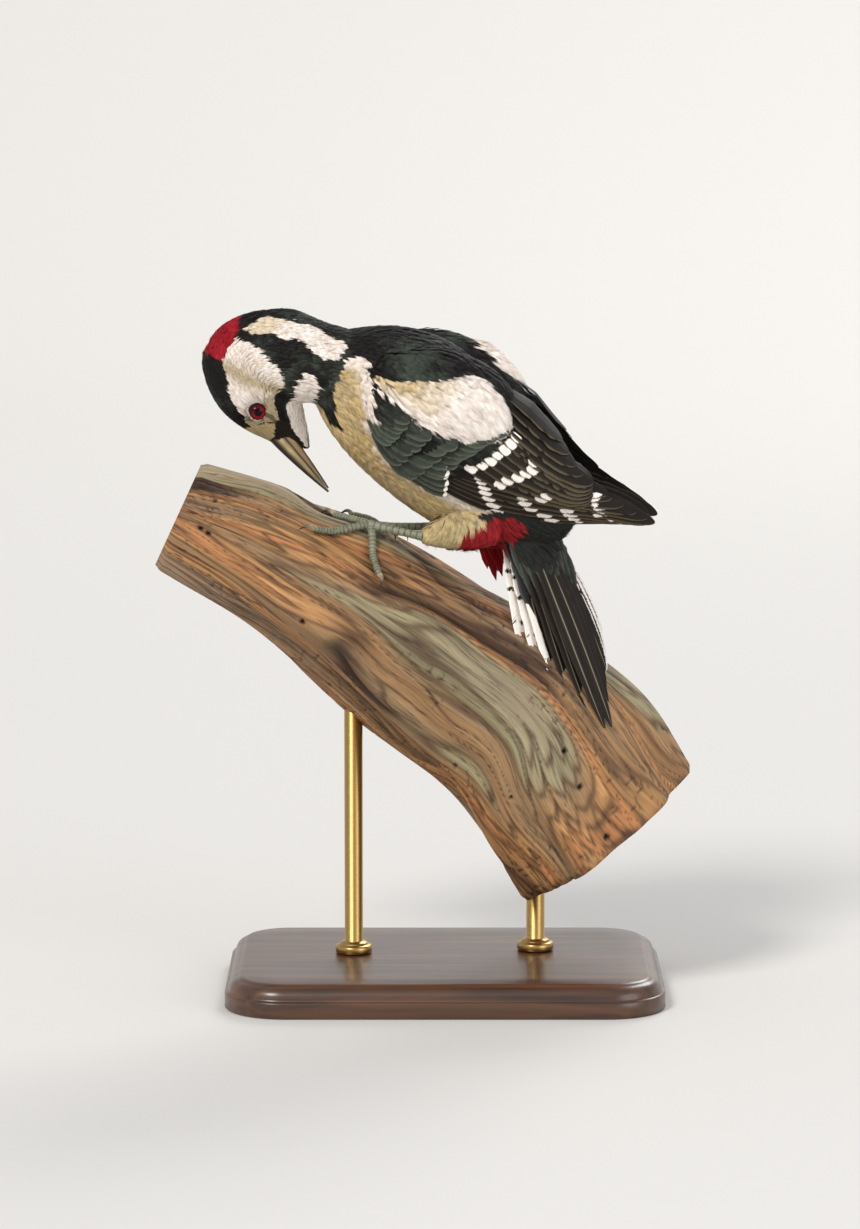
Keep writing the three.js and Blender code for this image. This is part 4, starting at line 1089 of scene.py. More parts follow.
def spot_depth(along, across, half_long, wide):
    """How deep points lie inside a rounded spot against a feather's outer edge."""
    corner = min(half_long, wide / 2) * 0.7
    a = np.abs(along) - half_long + corner
    b = np.abs(across - 0.25 - wide / 2) - wide / 2 + corner
    return corner - np.hypot(np.maximum(a, 0), np.maximum(b, 0)) - np.minimum(np.maximum(a, b), 0)


def wing_paint(tier, root, tip, rng):
    """Colours of one wing feather: dark, with white spots on the outer web where the bars pass. Coverts carry
    painted sheen and a painted grey-green highlight along their edges, the others a pale fringe.
    """
    name = tier["name"]
    covert, primary = "covert" in name, name == "primaries"
    base = mix(BLACK, GREEN_SHEEN if covert else BROWN_BLACK, 0.15 + 0.5 * rng.random())
    # painted highlight along the coverts' edges; a real pale fringe on the other feathers
    rim_fringe_and_highlight, rim_width = (srgb(122, 132, 114), 1.5) if covert else (srgb(140, 124, 94), 0.5)
    bars = {"primaries": PRIMARY_BARS, "secondaries": SECONDARY_BARS}.get(name, [])

    def paint(t, u, edge):
        tint = mix(base, rim_fringe_and_highlight, 0.5 * smooth(1 - edge / rim_width)[..., None])
        tint = tint * (0.75 + 0.35 * smooth(t * 1.3))[..., None]
        if name == "primary_coverts":
            return tint, np.minimum(1.5 - (1 - t) * abs(tip[0] - root[0]), edge - 0.2)
        mark = np.full(t.shape, UNMARKED)
        outer = mix(root[1], tip[1], t) + (6 if primary else 10)
        for number, bar in enumerate(bars):
            along = mix(root[0], tip[0], t) - np.interp(outer, *np.transpose(bar))
            wide = 2.5 if primary else 4.2 if number < 2 else 3.2
            lean, half_long = (0.5, 2.7) if primary else (0.2, 2.5)
            mark = np.maximum(mark, spot_depth(along + lean * edge, edge, half_long, wide))
        return tint, mark

    return paint


def wing(side, sign, rng):
    """The large feathers of one wing, tier over tier."""
    pile = Pile()
    cells = itertools.count()
    for tier in WING_TIERS:
        for share in np.linspace(0, 1, tier["count"]):
            root, tip = (mix(*np.array(tier[end], float), share) for end in ("root", "tip"))
            tip[0] -= tier.get("reach", 0) * max(0, 1 - abs(share - tier.get("longest", 0)) * 2)
            tip += rng.normal(0, [0.5, 0.4])
            top = mix(*tier["height"], share)
            sunk = station(FLESH_TOP, root[0])[0] - QUILL_SUNK

            def at(t, lift):
                turn = mix(root[1], tip[1], t) + tier["bow"] * np.sin(math.pi * t)
                height = mix(sunk, top, np.minimum(1, t / tier["run"])) + lift
                return wing_point(sign, mix(root[0], tip[0], t), turn, height)

            length = np.linalg.norm(at(1, 0) - at(0, 0))
            shape = {"rows": 26 if length < SHORT_FEATHER else 52, **tier}
            width = mix(*tier["width"], share) * rng.uniform(0.96, 1.04)
            paint = wing_paint(tier, root, tip, rng)
            vane(pile, at, length, width, shape, rng, paint, -sign, next(cells))
    return pile.piece(f"wing_feathers_{side}", VANE_FINISH, "plumage_dark", [f"wing_{side}"], mapped=True)


# ---------------------------------------------------------------- tail

# Six pairs, from the outermost to the middle one: length, half spread at the root and tip, width.
TAIL_PAIRS = [
    [55, 9, 21.5, 9], [66, 7.6, 18, 10], [73, 6, 14, 10.5],
    [79, 4.4, 9.8, 10.5], [87, 2.8, 5.8, 10.5], [96, 1.2, 2.1, 10],
]
TAIL_LAYER = 0.7
TAIL_ROOF = 0.27
TAIL_ARCH = 1.2
TAIL_SLOPE = 0.19
MIDDLE_STEP = 0.35  # the left one of the middle pair lies over the right one by twice this
WHITE_PAIRS = 2  # the outer pairs are white with dark bars
HALF_WHITE = 0.42  # share of the third feather's length where its outer web turns white
TAIL_BARS = [0.34, 0.48, 0.62, 0.75, 0.87]  # shares of the length
# Feathers over and under the tail's root: count, root, length, width, spread, height.
COVERT_ROWS = [
    [8, -2, 40, 9, 12, 5.2], [7, -6, 32, 9, 10, 6], [6, -9, 24, 8.5, 8, 6.8],
    [9, -11, 24, 8, 15, -10], [9, -11, 29, 8.5, 12.5, -11.5], [8, -12, 27, 8, 9.5, -13],
    [5, -13, 23, 7.5, 6, -14],
]


def tail_paint(pair, near):
    """Colours of one tail feather. The middle ones are dark, the outer ones white with dark arrows
    along them. On the far half, which is folded more, only their outer edge is white above."""
    length = TAIL_PAIRS[pair][0]

    def paint(t, u, edge):
        tint = mix(BLACK, BROWN_BLACK, (0.3 + 0.5 * smooth((np.abs(u) - 0.5) / 0.5))[..., None])
        if pair > WHITE_PAIRS:
            return tint, np.full(t.shape, UNMARKED)
        if pair == WHITE_PAIRS:
            return tint, np.minimum((t - HALF_WHITE) * length - 3 * edge, 4 - edge) if near else 0.5 - edge
        if not near:
            return tint, 1.1 - edge
        dark = np.maximum(UNMARKED, (0.16 - t) * length)
        for bar, aside in itertools.product(TAIL_BARS, (-0.2, 0.3, 0.8)):
            arrow = 1.0 - np.abs((t - bar) * length + 2.4 * np.abs(u - aside))
            dark = np.maximum(dark, np.minimum(arrow, 1.1 - np.abs(u - aside) * 5))
        return tint, -dark

    return paint


def tail_covert(pile, rng, cell, row, place):
    """One small feather over the tail's root, or one of the red ones under it."""
    _, start, length, width, spread, height = row
    above = 1 if height > 0 else -1
    reach = length * rng.uniform(0.92, 1.05)

    def at(t, lift):
        side = place * spread * mix(0.85, 1.05, t)
        high = mix(abs(height) - 2.6, abs(height), np.minimum(1, t * 2)) - (0.3 + 1.5 * above) * t * t
        return TAIL.out(start + reach * t, side, above * (high + lift) - TAIL_ROOF * abs(side))

    gloss = 0.2 + 0.6 * rng.random()

    def paint(t, u, edge):
        rim = smooth((np.abs(u) - 0.6) / 0.4)[..., None]
        # painted sheen by each feather's gloss, and a painted grey highlight towards its rims
        tint = mix(mix(BLACK, GREEN_SHEEN, gloss * 0.5), srgb(100, 102, 92), rim * 0.45)
        if above < 0:
            # painted highlight: the red under-coverts brighter with their gloss and towards their rims
            tint = VENT_RED * (1.0 + 0.3 * gloss + 0.3 * rim)
        return tint, np.full(t.shape, UNMARKED)

    shape = {"rows": 26, "round": 0.5, "shaft": 0, "slope": 0.12, "curve": 14, "notches": 3}
    if above < 0:
        shape |= {"round": 0.3, "point": 0.9, "notches": 8}
    vane(pile, at, reach, width, shape, rng, paint, -1 if place > 0 else 1, cell)


def tail(rng):
    """The tail's feathers in pairs, with the small ones over and under its root."""
    pile = Pile()
    cells = itertools.count()
    for pair, (length, start, end, width) in enumerate(TAIL_PAIRS):
        for side in (-1, 1):
            middle = pair == len(TAIL_PAIRS) - 1
            height = pair * TAIL_LAYER + side * (MIDDLE_STEP if middle else 0.1)
            reach = length + rng.normal(0, 0.8)

            def at(t, lift):
                aside = mix(start, end, t)
                arch = TAIL_ARCH * np.sin(math.pi * t) + height - TAIL_ROOF * aside + lift
                return TAIL.out(reach * t, side * aside, arch)

            shape = {
                "rows": 56, "round": 0.55, "point": 0.5, "shaft": 0.35, "slope": TAIL_SLOPE, "curve": 26,
                "notches": 5, "shaft_tint": srgb(176, 160, 130), "under": tail_paint(pair, True),
            }
            if pair > WHITE_PAIRS:
                shape |= {"round": 0.42, "point": 0.62, "shaft": 0.25}
            if middle:
                shape["slope"] = 0.06
            vane(pile, at, reach, width, shape, rng, tail_paint(pair, side > 0), -side, next(cells))
    for row in COVERT_ROWS:
        for place in np.linspace(-1, 1, row[0]):
            tail_covert(pile, rng, next(cells), row, place)
    return pile.piece("tail_feathers", VANE_FINISH, "plumage_dark", ["tail"], mapped=True)


# ---------------------------------------------------------------- head details

BILL = {"length": 33, "sunk": 7, "high": 9, "wide": 9.2, "tip_high": 1.5, "tip_wide": 0.9, "taper": 1.45}
UPPER_SHARE = 0.56  # of the bill's height
MOUTH_GAP = 0.3
LOWER_SHORTER = 1.2
NOSTRIL = {"x": 8, "z": 1.5, "long": 2.4, "high": 0.8, "deep": 0.7}
EYE_AIM = np.array([0.16, 0.96, 0.12])  # of the left one, in the head's frame
PUPIL = 1.9
IRIS = 3.0
LID_RING = 4.15
BILL_DARK = srgb(40, 34, 28)
BILL_PALE = srgb(198, 176, 124)
BILL_HORN = srgb(126, 100, 70)
BILL_RINGS = 64
BILL_SIDES = 33
IRIS_RED = srgb(160, 12, 32)
IRIS_SHADED = srgb(56, 10, 12)
IRIS_RIM = srgb(40, 10, 12)
PUPIL_BLACK = srgb(6, 4, 4)
LID_DARK = srgb(88, 72, 62)
LID_PALE = srgb(172, 158, 140)
LID_STEPS = [72, 14]  # points round the ring and round its tube


def bill_half(upper):
    """One half of the bill, from its root in the face to its chisel tip."""
    sign = 1 if upper else -1
    length = BILL["length"] - (0 if upper else LOWER_SHORTER)
    x = np.linspace(-BILL["sunk"], length, BILL_RINGS)[:, None]
    taper = np.maximum(0, x) / length
    half = UPPER_SHARE if upper else 1 - UPPER_SHARE
    high = mix(BILL["high"], BILL["tip_high"], taper ** BILL["taper"]) * half
    wide = mix(BILL["wide"], BILL["tip_wide"], taper) / 2
    a = np.linspace(0, math.pi, BILL_SIDES)
    flank, crest = np.cos(a), np.abs(np.sin(a)) ** 0.85
    y, z = wide * np.sign(flank) * np.abs(flank) ** 0.9, high * crest
    groove = 0.35 * bell(crest - 0.5, 0.16) * (1 - taper) ** 1.2
    if upper:
        pit = bell(x - NOSTRIL["x"], NOSTRIL["long"]) * bell(z - NOSTRIL["z"], NOSTRIL["high"])
        y = y - np.sign(y) * np.minimum(np.abs(y) * 0.4, groove + NOSTRIL["deep"] * pit)
    else:
        y = y - np.sign(y) * groove * 0.5
    streak = noise(stacked(x, z * 2.5, y * 1.5) * [0.25, 1, 1])
    if upper:
        pale = bell(crest - 0.34, 0.24) * (1 - taper) ** 0.4 * (0.8 + 0.3 * streak)
        tint = mix(BILL_DARK, BILL_PALE, np.clip(pale, 0, 1)[..., None])
    else:
        dark = smooth(0.1 + taper * 0.5 + 0.9 * (crest - 0.4) + 0.3 * streak)
        pale = 0.55 * bell(crest - 0.45, 0.2) * (1 - taper)
        tint = mix(mix(BILL_HORN, BILL_DARK, dark[..., None]), BILL_PALE, pale[..., None])
    first, last = (ring[:, :1].repeat(BILL_SIDES, 1) for ring in (tint[:1], tint[-1:]))
    pile = Pile()
    loops = SKULL.out(x, y, sign * (MOUTH_GAP / 2 + z))
    pile.add(*closed_tube(loops), np.concatenate([first, tint, last]).reshape(-1, 3))
    name = "bill_upper" if upper else "bill_lower"
    return pile.piece(name + "_horn", BILL_FINISH, "bill", [name])


def ball(radius, rings, sides, pole):
    """A sphere's points round a pole direction with their angles from it."""
    first = unit(np.cross(pole, [0.3, 0.2, 0.9]))
    second = np.cross(pole, first)
    a = np.linspace(0.002, math.pi - 0.002, rings)[:, None, None]
    b = circle(sides)[:, None]
    grid = np.cos(a) * pole + np.sin(a) * (np.cos(b) * first + np.sin(b) * second)
    return grid * radius, np.broadcast_to(a[..., 0], (rings, sides))


def eye(side, sign):
    """A glossy ball with a red iris round a black pupil. The iris carries painted shade, darker towards the
    rear and redder towards the bill.
    """
    middle = SKULL.out(EYE["x"], sign * EYE["out"], EYE["z"])
    pole = unit(SKULL.axes @ (EYE_AIM * [1, sign, 1]))
    grid, angle = ball(EYE["radius"], 60, 64, pole)
    edge = angle[..., None] * EYE["radius"]
    # painted shade on the iris: darker towards the rear, lighter towards the bill
    light = 0.42 + 0.3 * grid @ SKULL.axes[:, :1] / PUPIL + 0.15 * noise(grid * 1.6)[..., None]
    tint = mix(IRIS_SHADED, IRIS_RED, smooth(light))
    tint = mix(tint, IRIS_RIM, smooth((edge - IRIS) / 0.7))
    tint = mix(PUPIL_BLACK, tint, smooth((edge - PUPIL) / 0.4 + 0.5))
    eyeball = Pile().add_tube(grid + middle, tint)
    return eyeball.piece(f"eye_ball_{side}", EYE_FINISH, "eye", [f"eye_{side}"])


def lids(sign, pile):
    """The bare ring round the eye, thicker above, folded finely."""
    rings, sides = LID_STEPS
    a, b = circle(rings)[:, None], circle(sides)
    tube = 0.44 + 0.12 * np.maximum(0, np.sin(a)) + 0.05 * np.sin(a * 24)
    reach = LID_RING - 0.1 + tube * np.cos(b)
    x, z = reach * np.cos(a) * 1.06, reach * np.sin(a) * 0.97
    lift = 0.9 - 0.055 * x * x + 0.9 * tube * np.sin(b)
    grid = SKULL.out(EYE["x"] + x, sign * (EYE["out"] + lift), EYE["z"] + z)
    tint = mix(LID_DARK, LID_PALE, smooth(0.5 + noise(grid * 1.3)).reshape(-1, 1))
    pile.add(grid, grid_faces(rings, sides, around=True, looped=True), tint)


# ---------------------------------------------------------------- limb

LIMB = [
    [-116, 2, 208, 24], [-62, 2, 183, 32], [-14, 5, 150, 38], [34, 9, 112, 43], [70, 10, 66, 46],
]
# Ridges of the weathered grain: count round the limb, height as a share of radius, twist, phase.
RIDGES = [[3, 0.035, 1.3, 0.6], [7, 0.045, -1.1, 1.9], [12, 0.022, -2.2, 0.2]]
# Swellings and hollows: share of length, degrees round, height, reach in share and in degrees.
LIMB_FORMS = [
    [0.23, 4, -6, 0.05, 17], [0.5, -80, 13, 0.13, 30], [0.86, -20, 5, 0.1, 24],
    [0.12, 70, 3, 0.08, 26], [0.72, 150, -4, 0.12, 30],
]
LIMB_PATH = Curve([row[:3] for row in LIMB])
LIMB_THICK = Curve([[row[3], 0, 0] for row in LIMB])
LIMB_RINGS = 240
LIMB_SIDES = 350
LIMB_GIRTH = 36  # radius that the grain is worked out on
# Soft noises of the wood: scale across and along the limb, seed. grooved and checked say where the
# grooves and the cross checks lie.
GRAINS = {
    "sway": [0.02, 0.014, 11], "waver": [0.06, 0.035, 12], "groove": [0.085, 0.006, 13],
    "fine": [0.5, 0.022, 14], "hair": [1.5, 0.07, 15], "grooved": [0.04, 0.02, 16],
    "split": [0.26, 0.012, 17], "check": [0.22, 0.34, 18], "streak": [0.085, 0.0065, 21],
    "checked": [0.05, 0.03, 22],
}
SWAY = 15  # how far the grain wanders sideways, broadly and finely
WAVER = 3.5
GROOVE_DEEP = 2.8
SPLIT_DEEP = 0.9
CHECK_DEEP = 0.5
HOLE_DEEP = 2.2
CAP_RINGS = 14
HOLES = 34  # of beetles
HOLE_RADII = [0.7, 1.25]  # least and greatest
# Streaks of the wood across the grain: value of a long soft noise, and colour.
STREAKS = [
    [-0.7, srgb(164, 138, 112)], [-0.42, srgb(140, 108, 74)], [-0.22, srgb(178, 132, 82)],
    [-0.04, srgb(168, 112, 66)], [0.1, srgb(176, 130, 82)], [0.28, srgb(150, 116, 80)],
    [0.46, srgb(142, 132, 100)], [0.8, srgb(150, 134, 108)],
]
STREAK_LINES = [-0.5, -0.31, -0.13, 0.04, 0.19, 0.37, 0.56]  # where a dark line parts two streaks
# colours of the painted shade in and beside the grooves
GROOVE = srgb(44, 28, 17)
UMBER = srgb(92, 60, 34)
CUT_WOOD = srgb(172, 128, 84)


def wrap(angle):
    """An angle brought to within half a turn of 0."""
    return np.arctan2(np.sin(angle), np.cos(angle))


def on_limb(share, turn, height=0.0):
    """A point at a share of the limb's length, an angle round from its top towards the bird's left,
    and a height above the wood."""
    share, turn, height = np.broadcast_arrays(np.asarray(share, float), turn, height)
    t = LIMB_PATH.share(share)
    ahead = LIMB_PATH.ahead(t)
    left = unit(LEFT - ahead * dot(ahead, LEFT)[..., None])
    swell = 1.0
    for count, high, twist, phase in RIDGES:
        swell = swell + high * np.sin(count * turn + twist * 2 * share * math.pi + phase)
    radius = LIMB_THICK.at(t)[..., 0] * swell + height
    for at_share, at_degrees, rise, reach, reach_degrees in LIMB_FORMS:
        gap = wrap(turn - at_degrees * DEG) / DEG
        radius = radius + rise * bell(share - at_share, reach) * bell(gap, reach_degrees)
    out = np.cross(left, ahead) * np.cos(turn)[..., None] + left * np.sin(turn)[..., None]
    return LIMB_PATH.at(t) + out * radius[..., None]


def with_ends(rows, cut):
    """Rows of values along the limb with those of its two cut ends, which cut(rim, inward) gives."""
    inward = np.linspace(1, 0.02, CAP_RINGS)[1:, None, None]
    return np.concatenate([cut(rows[0], inward)[::-1], rows, cut(rows[-1], inward)])


def limb():
    """The cut limb, weathered to flowing grain with grooves, cross checks and small round holes, darkened
    with painted shade in and beside its grooves, splits, checks and holes.
    """
    rng = np.random.default_rng(5)
    share, turn = np.linspace(0, 1, LIMB_RINGS)[:, None], circle(LIMB_SIDES)[None]
    along = np.broadcast_to(share * LIMB_PATH.length, (LIMB_RINGS, LIMB_SIDES))

    def girth(angle):
        return stacked(LIMB_GIRTH * np.cos(angle), LIMB_GIRTH * np.sin(angle), along)

    def grain(name, angle):
        across, lengthwise, seed = GRAINS[name]
        return noise(girth(angle) * [across, across, lengthwise], seed)

    angle = turn + (grain("sway", turn) * SWAY + grain("waver", turn) * WAVER) / LIMB_GIRTH
    broad, fine, hair = np.abs(grain("groove", angle)), grain("fine", angle), grain("hair", angle)
    open_ = smooth(0.55 + 1.3 * grain("grooved", turn))
    split = smooth(1 - np.abs(grain("split", angle)) / 0.075)
    streak = grain("streak", angle) + 0.1 * fine
    check = smooth(1 - np.abs(grain("check", angle)) / 0.07) * smooth((grain("checked", turn) - 0.12) / 0.15)
    holes = np.zeros_like(along)
    for middle, round_, radius in zip(rng.random(HOLES), rng.random(HOLES), rng.uniform(*HOLE_RADII, HOLES)):
        aside = wrap(turn - round_ * 2 * math.pi) * LIMB_GIRTH
        gap = np.hypot(along - middle * LIMB_PATH.length, aside)
        holes = np.maximum(holes, smooth((radius - gap) / 0.6 + 0.5))
    depth = -GROOVE_DEEP * smooth(1 - broad / 0.085) * open_
    depth = depth - (SPLIT_DEEP * split + CHECK_DEEP * check + HOLE_DEEP * holes)
    depth = depth + 0.5 * smooth(streak * 3 + 0.5) + 0.25 * fine + 0.1 * hair - 0.5
    rim = smooth(np.minimum(share, 1 - share) / 0.012)
    wood = on_limb(share, turn, depth - 1.2 * (1 - rim))

    values, colours = zip(*STREAKS)
    tint = np.stack([np.interp(streak, values, level) for level in zip(*colours)], -1)
    tint = tint * (1 + 0.26 * fine + 0.2 * hair)[..., None]
    lines = sum(bell(streak - value, 0.03) for value in STREAK_LINES)
    # painted shade beside the grooves, with dark lines between the streaks
    shade = np.clip(0.8 * smooth(1 - broad / 0.3) * open_ + 0.75 * lines, 0, 1)
    tint = mix(tint, mix(UMBER, GROOVE, 0.45), shade[..., None])
    # painted shade in the grooves, splits, checks and holes
    dark = np.clip(0.95 * smooth(1 - broad / 0.1) * open_ + 0.6 * split + 0.7 * check + holes, 0, 1)
    tint = mix(tint, GROOVE, dark[..., None])

    def cut_tint(edge, inward):
        return mix(CUT_WOOD, edge, 0.25 * inward) * (0.86 + 0.14 * np.sin(inward * 60))

    grid = with_ends(wood, lambda edge, inward: mix(edge.mean(0), edge, inward))
    lie = with_ends(girth(angle), lambda edge, inward: mix(edge * [0, 0, 1], edge, inward))
    tint = with_ends(tint, cut_tint)
    points, faces = closed_tube(grid)
    lie, tint = (np.concatenate([v[:1], v, v[-1:]]).reshape(-1, 3) for v in (lie, tint))
    piece = mesh_object("limb_wood", points, outward(points, faces), tint, values={"Grain": lie})
    return finish_piece(piece, WOOD_FINISH, ["perch_limb"])


# ---------------------------------------------------------------- legs and feet

SHANK_RADIUS = 1.75
SHANK_SWELL = [[0, 0.25], [0.2, 0], [0.72, 0], [1, 0.35]]
SCUTES = 9
FEET = {"left": [0.302, 20], "right": [0.33, -38]}
# Toes: along the limb, degrees round it away from the other foot, claw, radius, joints.
TOES = {
    "1": [8, -8, 6.5, 1.3, 2], "2": [-13, -17, 7.5, 1.5, 3], "3": [-18, 27, 8.5, 1.6, 4],
    "4": [12, 36, 8.5, 1.6, 4],
}
FOOT_LIFT = 3.3
FOOT_JOINT = 2.4
GAP = 0.3
CLAW_START = 0.7
TOE_SIDE = unit([0.2, -1, 0.4])
LEG_TINT = srgb(132, 134, 112)
LEG_DARK = srgb(66, 66, 52)
CLAW_PALE = srgb(168, 152, 122)
CLAW_DARK = srgb(38, 32, 28)


def scaled(path, radius, bands, side, sides=20):
    """A tube with scales: rings that step up towards each band's lower edge, and darker joints."""
    t, a = np.linspace(0, 1, len(path)), circle(sides)
    band = np.mod(t * bands, 1)
    size = radius + 0.16 * band**2 - 0.1 * bell(band, 0.1)
    grid = tube_rings(path, size, size, sides, side)
    net = 0.07 * np.sin(a * 6) * np.sin(t * bands * 3 * math.pi)[:, None] * (np.cos(a) < 0.1)
    grid = grid + unit(grid - path[:, None]) * net[..., None]
    seam = bell(band, 0.13) + bell(1 - band, 0.08)
    dark = np.clip(seam[:, None] * 0.85 + 0.35 * noise(grid * 0.8, 31) + 0.15, 0, 1)
    return grid, mix(LEG_TINT, LEG_DARK, dark[..., None])


def toe_place(side, toe, t):
    """Place on the limb of a toe at t: share of the length and angle round."""
    share, degrees = FEET[side]
    along, round_, *_ = TOES[toe]
    mirror = 1 if side == "left" else -1
    return share + along / LIMB_PATH.length * t, (degrees + mirror * round_ * t) * DEG


def toe_point(side, toe, t):
    """Middle of a toe at t."""
    radius = TOES[toe][3]
    lift = mix(FOOT_LIFT, radius + GAP, np.minimum(1, np.asarray(t, float) * 2.2))
    return on_limb(*toe_place(side, toe, t), lift)


def leg(side):
    """Shank, foot and claws of one leg."""
    share, degrees = FEET[side]
    heel, joint = np.array(HEELS[side], float), on_limb(share, degrees * DEG, FOOT_LIFT)
    t = np.linspace(0, 1, 110)
    swell = SHANK_RADIUS * (1 + station(SHANK_SWELL, t)[:, 0])
    shank = Pile().add_tube(*scaled(mix(heel, joint, t[:, None]), swell, SCUTES, LEFT))
    shank.piece(f"shank_scales_{side}", LEG_FINISH, "leg_skin", [f"shank_{side}"])
    grid, _ = ball(FOOT_JOINT, 20, 28, unit(joint - heel))
    lump = 1 + 0.06 * noise(grid * 1.1)[..., None]
    tint = mix(LEG_TINT, LEG_DARK, smooth(0.35 + noise(grid * 1.4))[..., None])
    foot = Pile().add_tube(grid * lump + joint, tint)
    for toe, (_, _, _, radius, joints) in TOES.items():
        size = radius * (1.0 - 0.25 * t + 0.14 * np.abs(np.sin(math.pi * joints * t)))
        foot.add_tube(*scaled(toe_point(side, toe, t), size, joints * 4, TOE_SIDE))
    foot.piece(f"foot_scales_{side}", LEG_FINISH, "leg_skin", [f"foot_{side}"])
    for toe in TOES:
        claw(side, toe)


def claw(side, toe):
    """A curved claw from the end of its toe, paler at its root."""
    _, _, long, radius, _ = TOES[toe]
    end, tip = toe_point(side, toe, 1.0), toe_place(side, toe, 1.0)
    ahead = unit(end - toe_point(side, toe, 0.85))
    out = unit(on_limb(*tip, 1) - on_limb(*tip, 0))
    t = np.linspace(0, 1, 30)[:, None]
    bend = long * (0.2 * np.sin(math.pi * t) - 0.34 * t * t)
    path = end + ahead * (CLAW_START - 0.5 + long * t * (1 - 0.15 * t)) + out * (bend + 0.35)
    thick = np.maximum(0.14, radius * 0.76 * (1 - t[:, 0]) ** 0.75)
    grid = tube_rings(path, thick, thick * 0.72, 18, TOE_SIDE)
    tint = mix(CLAW_PALE, CLAW_DARK, smooth((t[..., None] - 0.05) / 0.75))
    horn = Pile().add_tube(grid, tint)
    return horn.piece(f"claw_horn_{side}_{toe}", CLAW_FINISH, "claw", [f"claw_{side}_{toe}"])


# ---------------------------------------------------------------- skin piece and coat pieces


def skin_piece():
    """The skin under the coat, darker than the feathers over it: painted shade in the gaps between them."""
    tint = coat_marks(coat_places(SKIN_POINTS)) * SKIN_SHADE
    piece = mesh_object("skin", SKIN_POINTS, SKIN_FACES, tint)
    flesh = ["head", "neck", "torso", "thigh_left", "thigh_right"]
    return finish_piece(piece, SKIN_FINISH, flesh)


# Coat of each part: length, width, height of the tip over the skin, spacing of the roots.
TUFT_SIZES = {
    "torso": [9.4, 2.0, 1.8, 0.96], "neck": [7.6, 1.35, 1.6, 0.7],
    "head": [4.6, 0.92, 1.05, 0.49], "thigh": [6.5, 1.4, 1.2, 0.75],
}
SHOULDER_SIZES = [14, 2.3, 1.7, 1.02]
VENT_SIZES = [13, 2.6, 1.9, 1.2]
FLANK_SIZES = [14, 2.2, 2.1, 1.0]
FACE_SHARE = 0.6  # size of the tufts next to the bill, as a share of those on the crown
EYE_CLEAR = 4.2  # from the middle of the eye to the nearest root
FACE_MIDDLE = 4  # half width of the face's middle, which lies by neither eye
FAR_OFF = 99  # a distance with nothing near
BILL_BARE = [4, -4]  # least x and z in the head's frame where the bill takes the tufts' place
BREAST_FROM = 12  # x in the body's frame that parts breast and belly
SIZE_SPREAD = [0.85, 1.15]
# painted shade on the skin under the coat
SKIN_SHADE = 0.55  # brightness of the skin, as a share of that of the coat
# Stretches of the body under the wing's vanes that carry no tufts: [x from, x to, degrees from, to].
COVERED = [[-50, -24, 26, 104], [-24, 8, 88, 106]]


def tuft_sizes(places):
    """Length, width, height and spacing of the tufts at each place."""
    sizes = sum(places.share[part][:, None] * np.array(TUFT_SIZES[part]) for part in PARTS)
    face = smooth((places.head[:, 0] + 20) / 22) * smooth((places.head[:, 2] + 9) / 4) * places.on_head
    small = 1 - (1 - FACE_SHARE) * face
    sizes = sizes * np.stack([small, small, 1 - 0.35 * face, small], -1)
    patch = smooth(patch_depth(places.body) / 2 + 0.5)
    flank = smooth((places.round - 118) / 14) * smooth((-places.body[:, 0] - 4) / 12)
    vent = smooth((places.tail[:, 0] + 8) / 6) * (places.tail[:, 2] < 3)
    for amount, kind in ((patch, SHOULDER_SIZES), (flank, FLANK_SIZES), (vent, VENT_SIZES)):
        sizes = mix(sizes, np.array(kind), (amount * places.on_torso)[:, None])
    return sizes


def eye_gap(places):
    """Distance from the middle of the nearer eye, seen from the side."""
    head = places.head
    between = np.abs(head[:, 1]) < FACE_MIDDLE
    return np.hypot(head[:, 0] - EYE["x"], head[:, 2] - EYE["z"]) + FAR_OFF * between


def feathered(places):
    """Where the skin carries tufts: not in the eyes and the bill, nor deep under the wings."""
    head = places.head
    above = (head[:, 0] > BILL_BARE[0]) & (head[:, 2] > BILL_BARE[1])
    on_bill = places.on_head & (np.abs(head[:, 1]) < FACE_MIDDLE) & above
    x, turn = wing_place(places.body)
    under = [(x > low) & (x < high) & (turn > first) & (turn < last) for low, high, first, last in COVERED]
    hidden = np.any(under, 0) & places.on_torso & (patch_depth(places.body) < -4)
    return ((eye_gap(places) > EYE_CLEAR) & ~on_bill & ~hidden).astype(float)


def coat(rng):
    """The coat in eight pieces, of tufts at scattered roots."""
    roots = scattered(rng, lambda places: tuft_sizes(places)[:, 3], feathered)
    places = coat_places(roots)
    sizes = tuft_sizes(places)
    in_front = places.on_head & (places.head[:, 0] > EYE["x"])
    room = np.where(in_front, np.maximum(eye_gap(places) - EYE_CLEAR + 0.9, 0.8), FAR_OFF)
    sizes[:, 0] = np.minimum(sizes[:, 0], room)
    sizes[:, :3] *= rng.uniform(*SIZE_SPREAD, (len(roots), 1))
    left, left_face = places.body[:, 1] > 0, places.head[:, 1] > 0
    fore = places.body[:, 0] > BREAST_FROM
    pieces = [
        ("head_left", places.on_head & left_face, 3), ("head_right", places.on_head & ~left_face, 3),
        ("neck", places.on_neck, 3),
        ("breast_left", places.on_torso & fore & left, 5), ("belly_left", places.on_torso & ~fore & left, 5),
        ("breast_right", places.on_torso & fore & ~left, 5),
        ("belly_right", places.on_torso & ~fore & ~left, 5),
        ("thighs", places.on_thigh, 4),
    ]
    for name, chosen, lobes in pieces:
        tufts("coat_" + name, roots[chosen], sizes[chosen, :3].T, rng, lobes)


# ---------------------------------------------------------------- wood, stand and rods


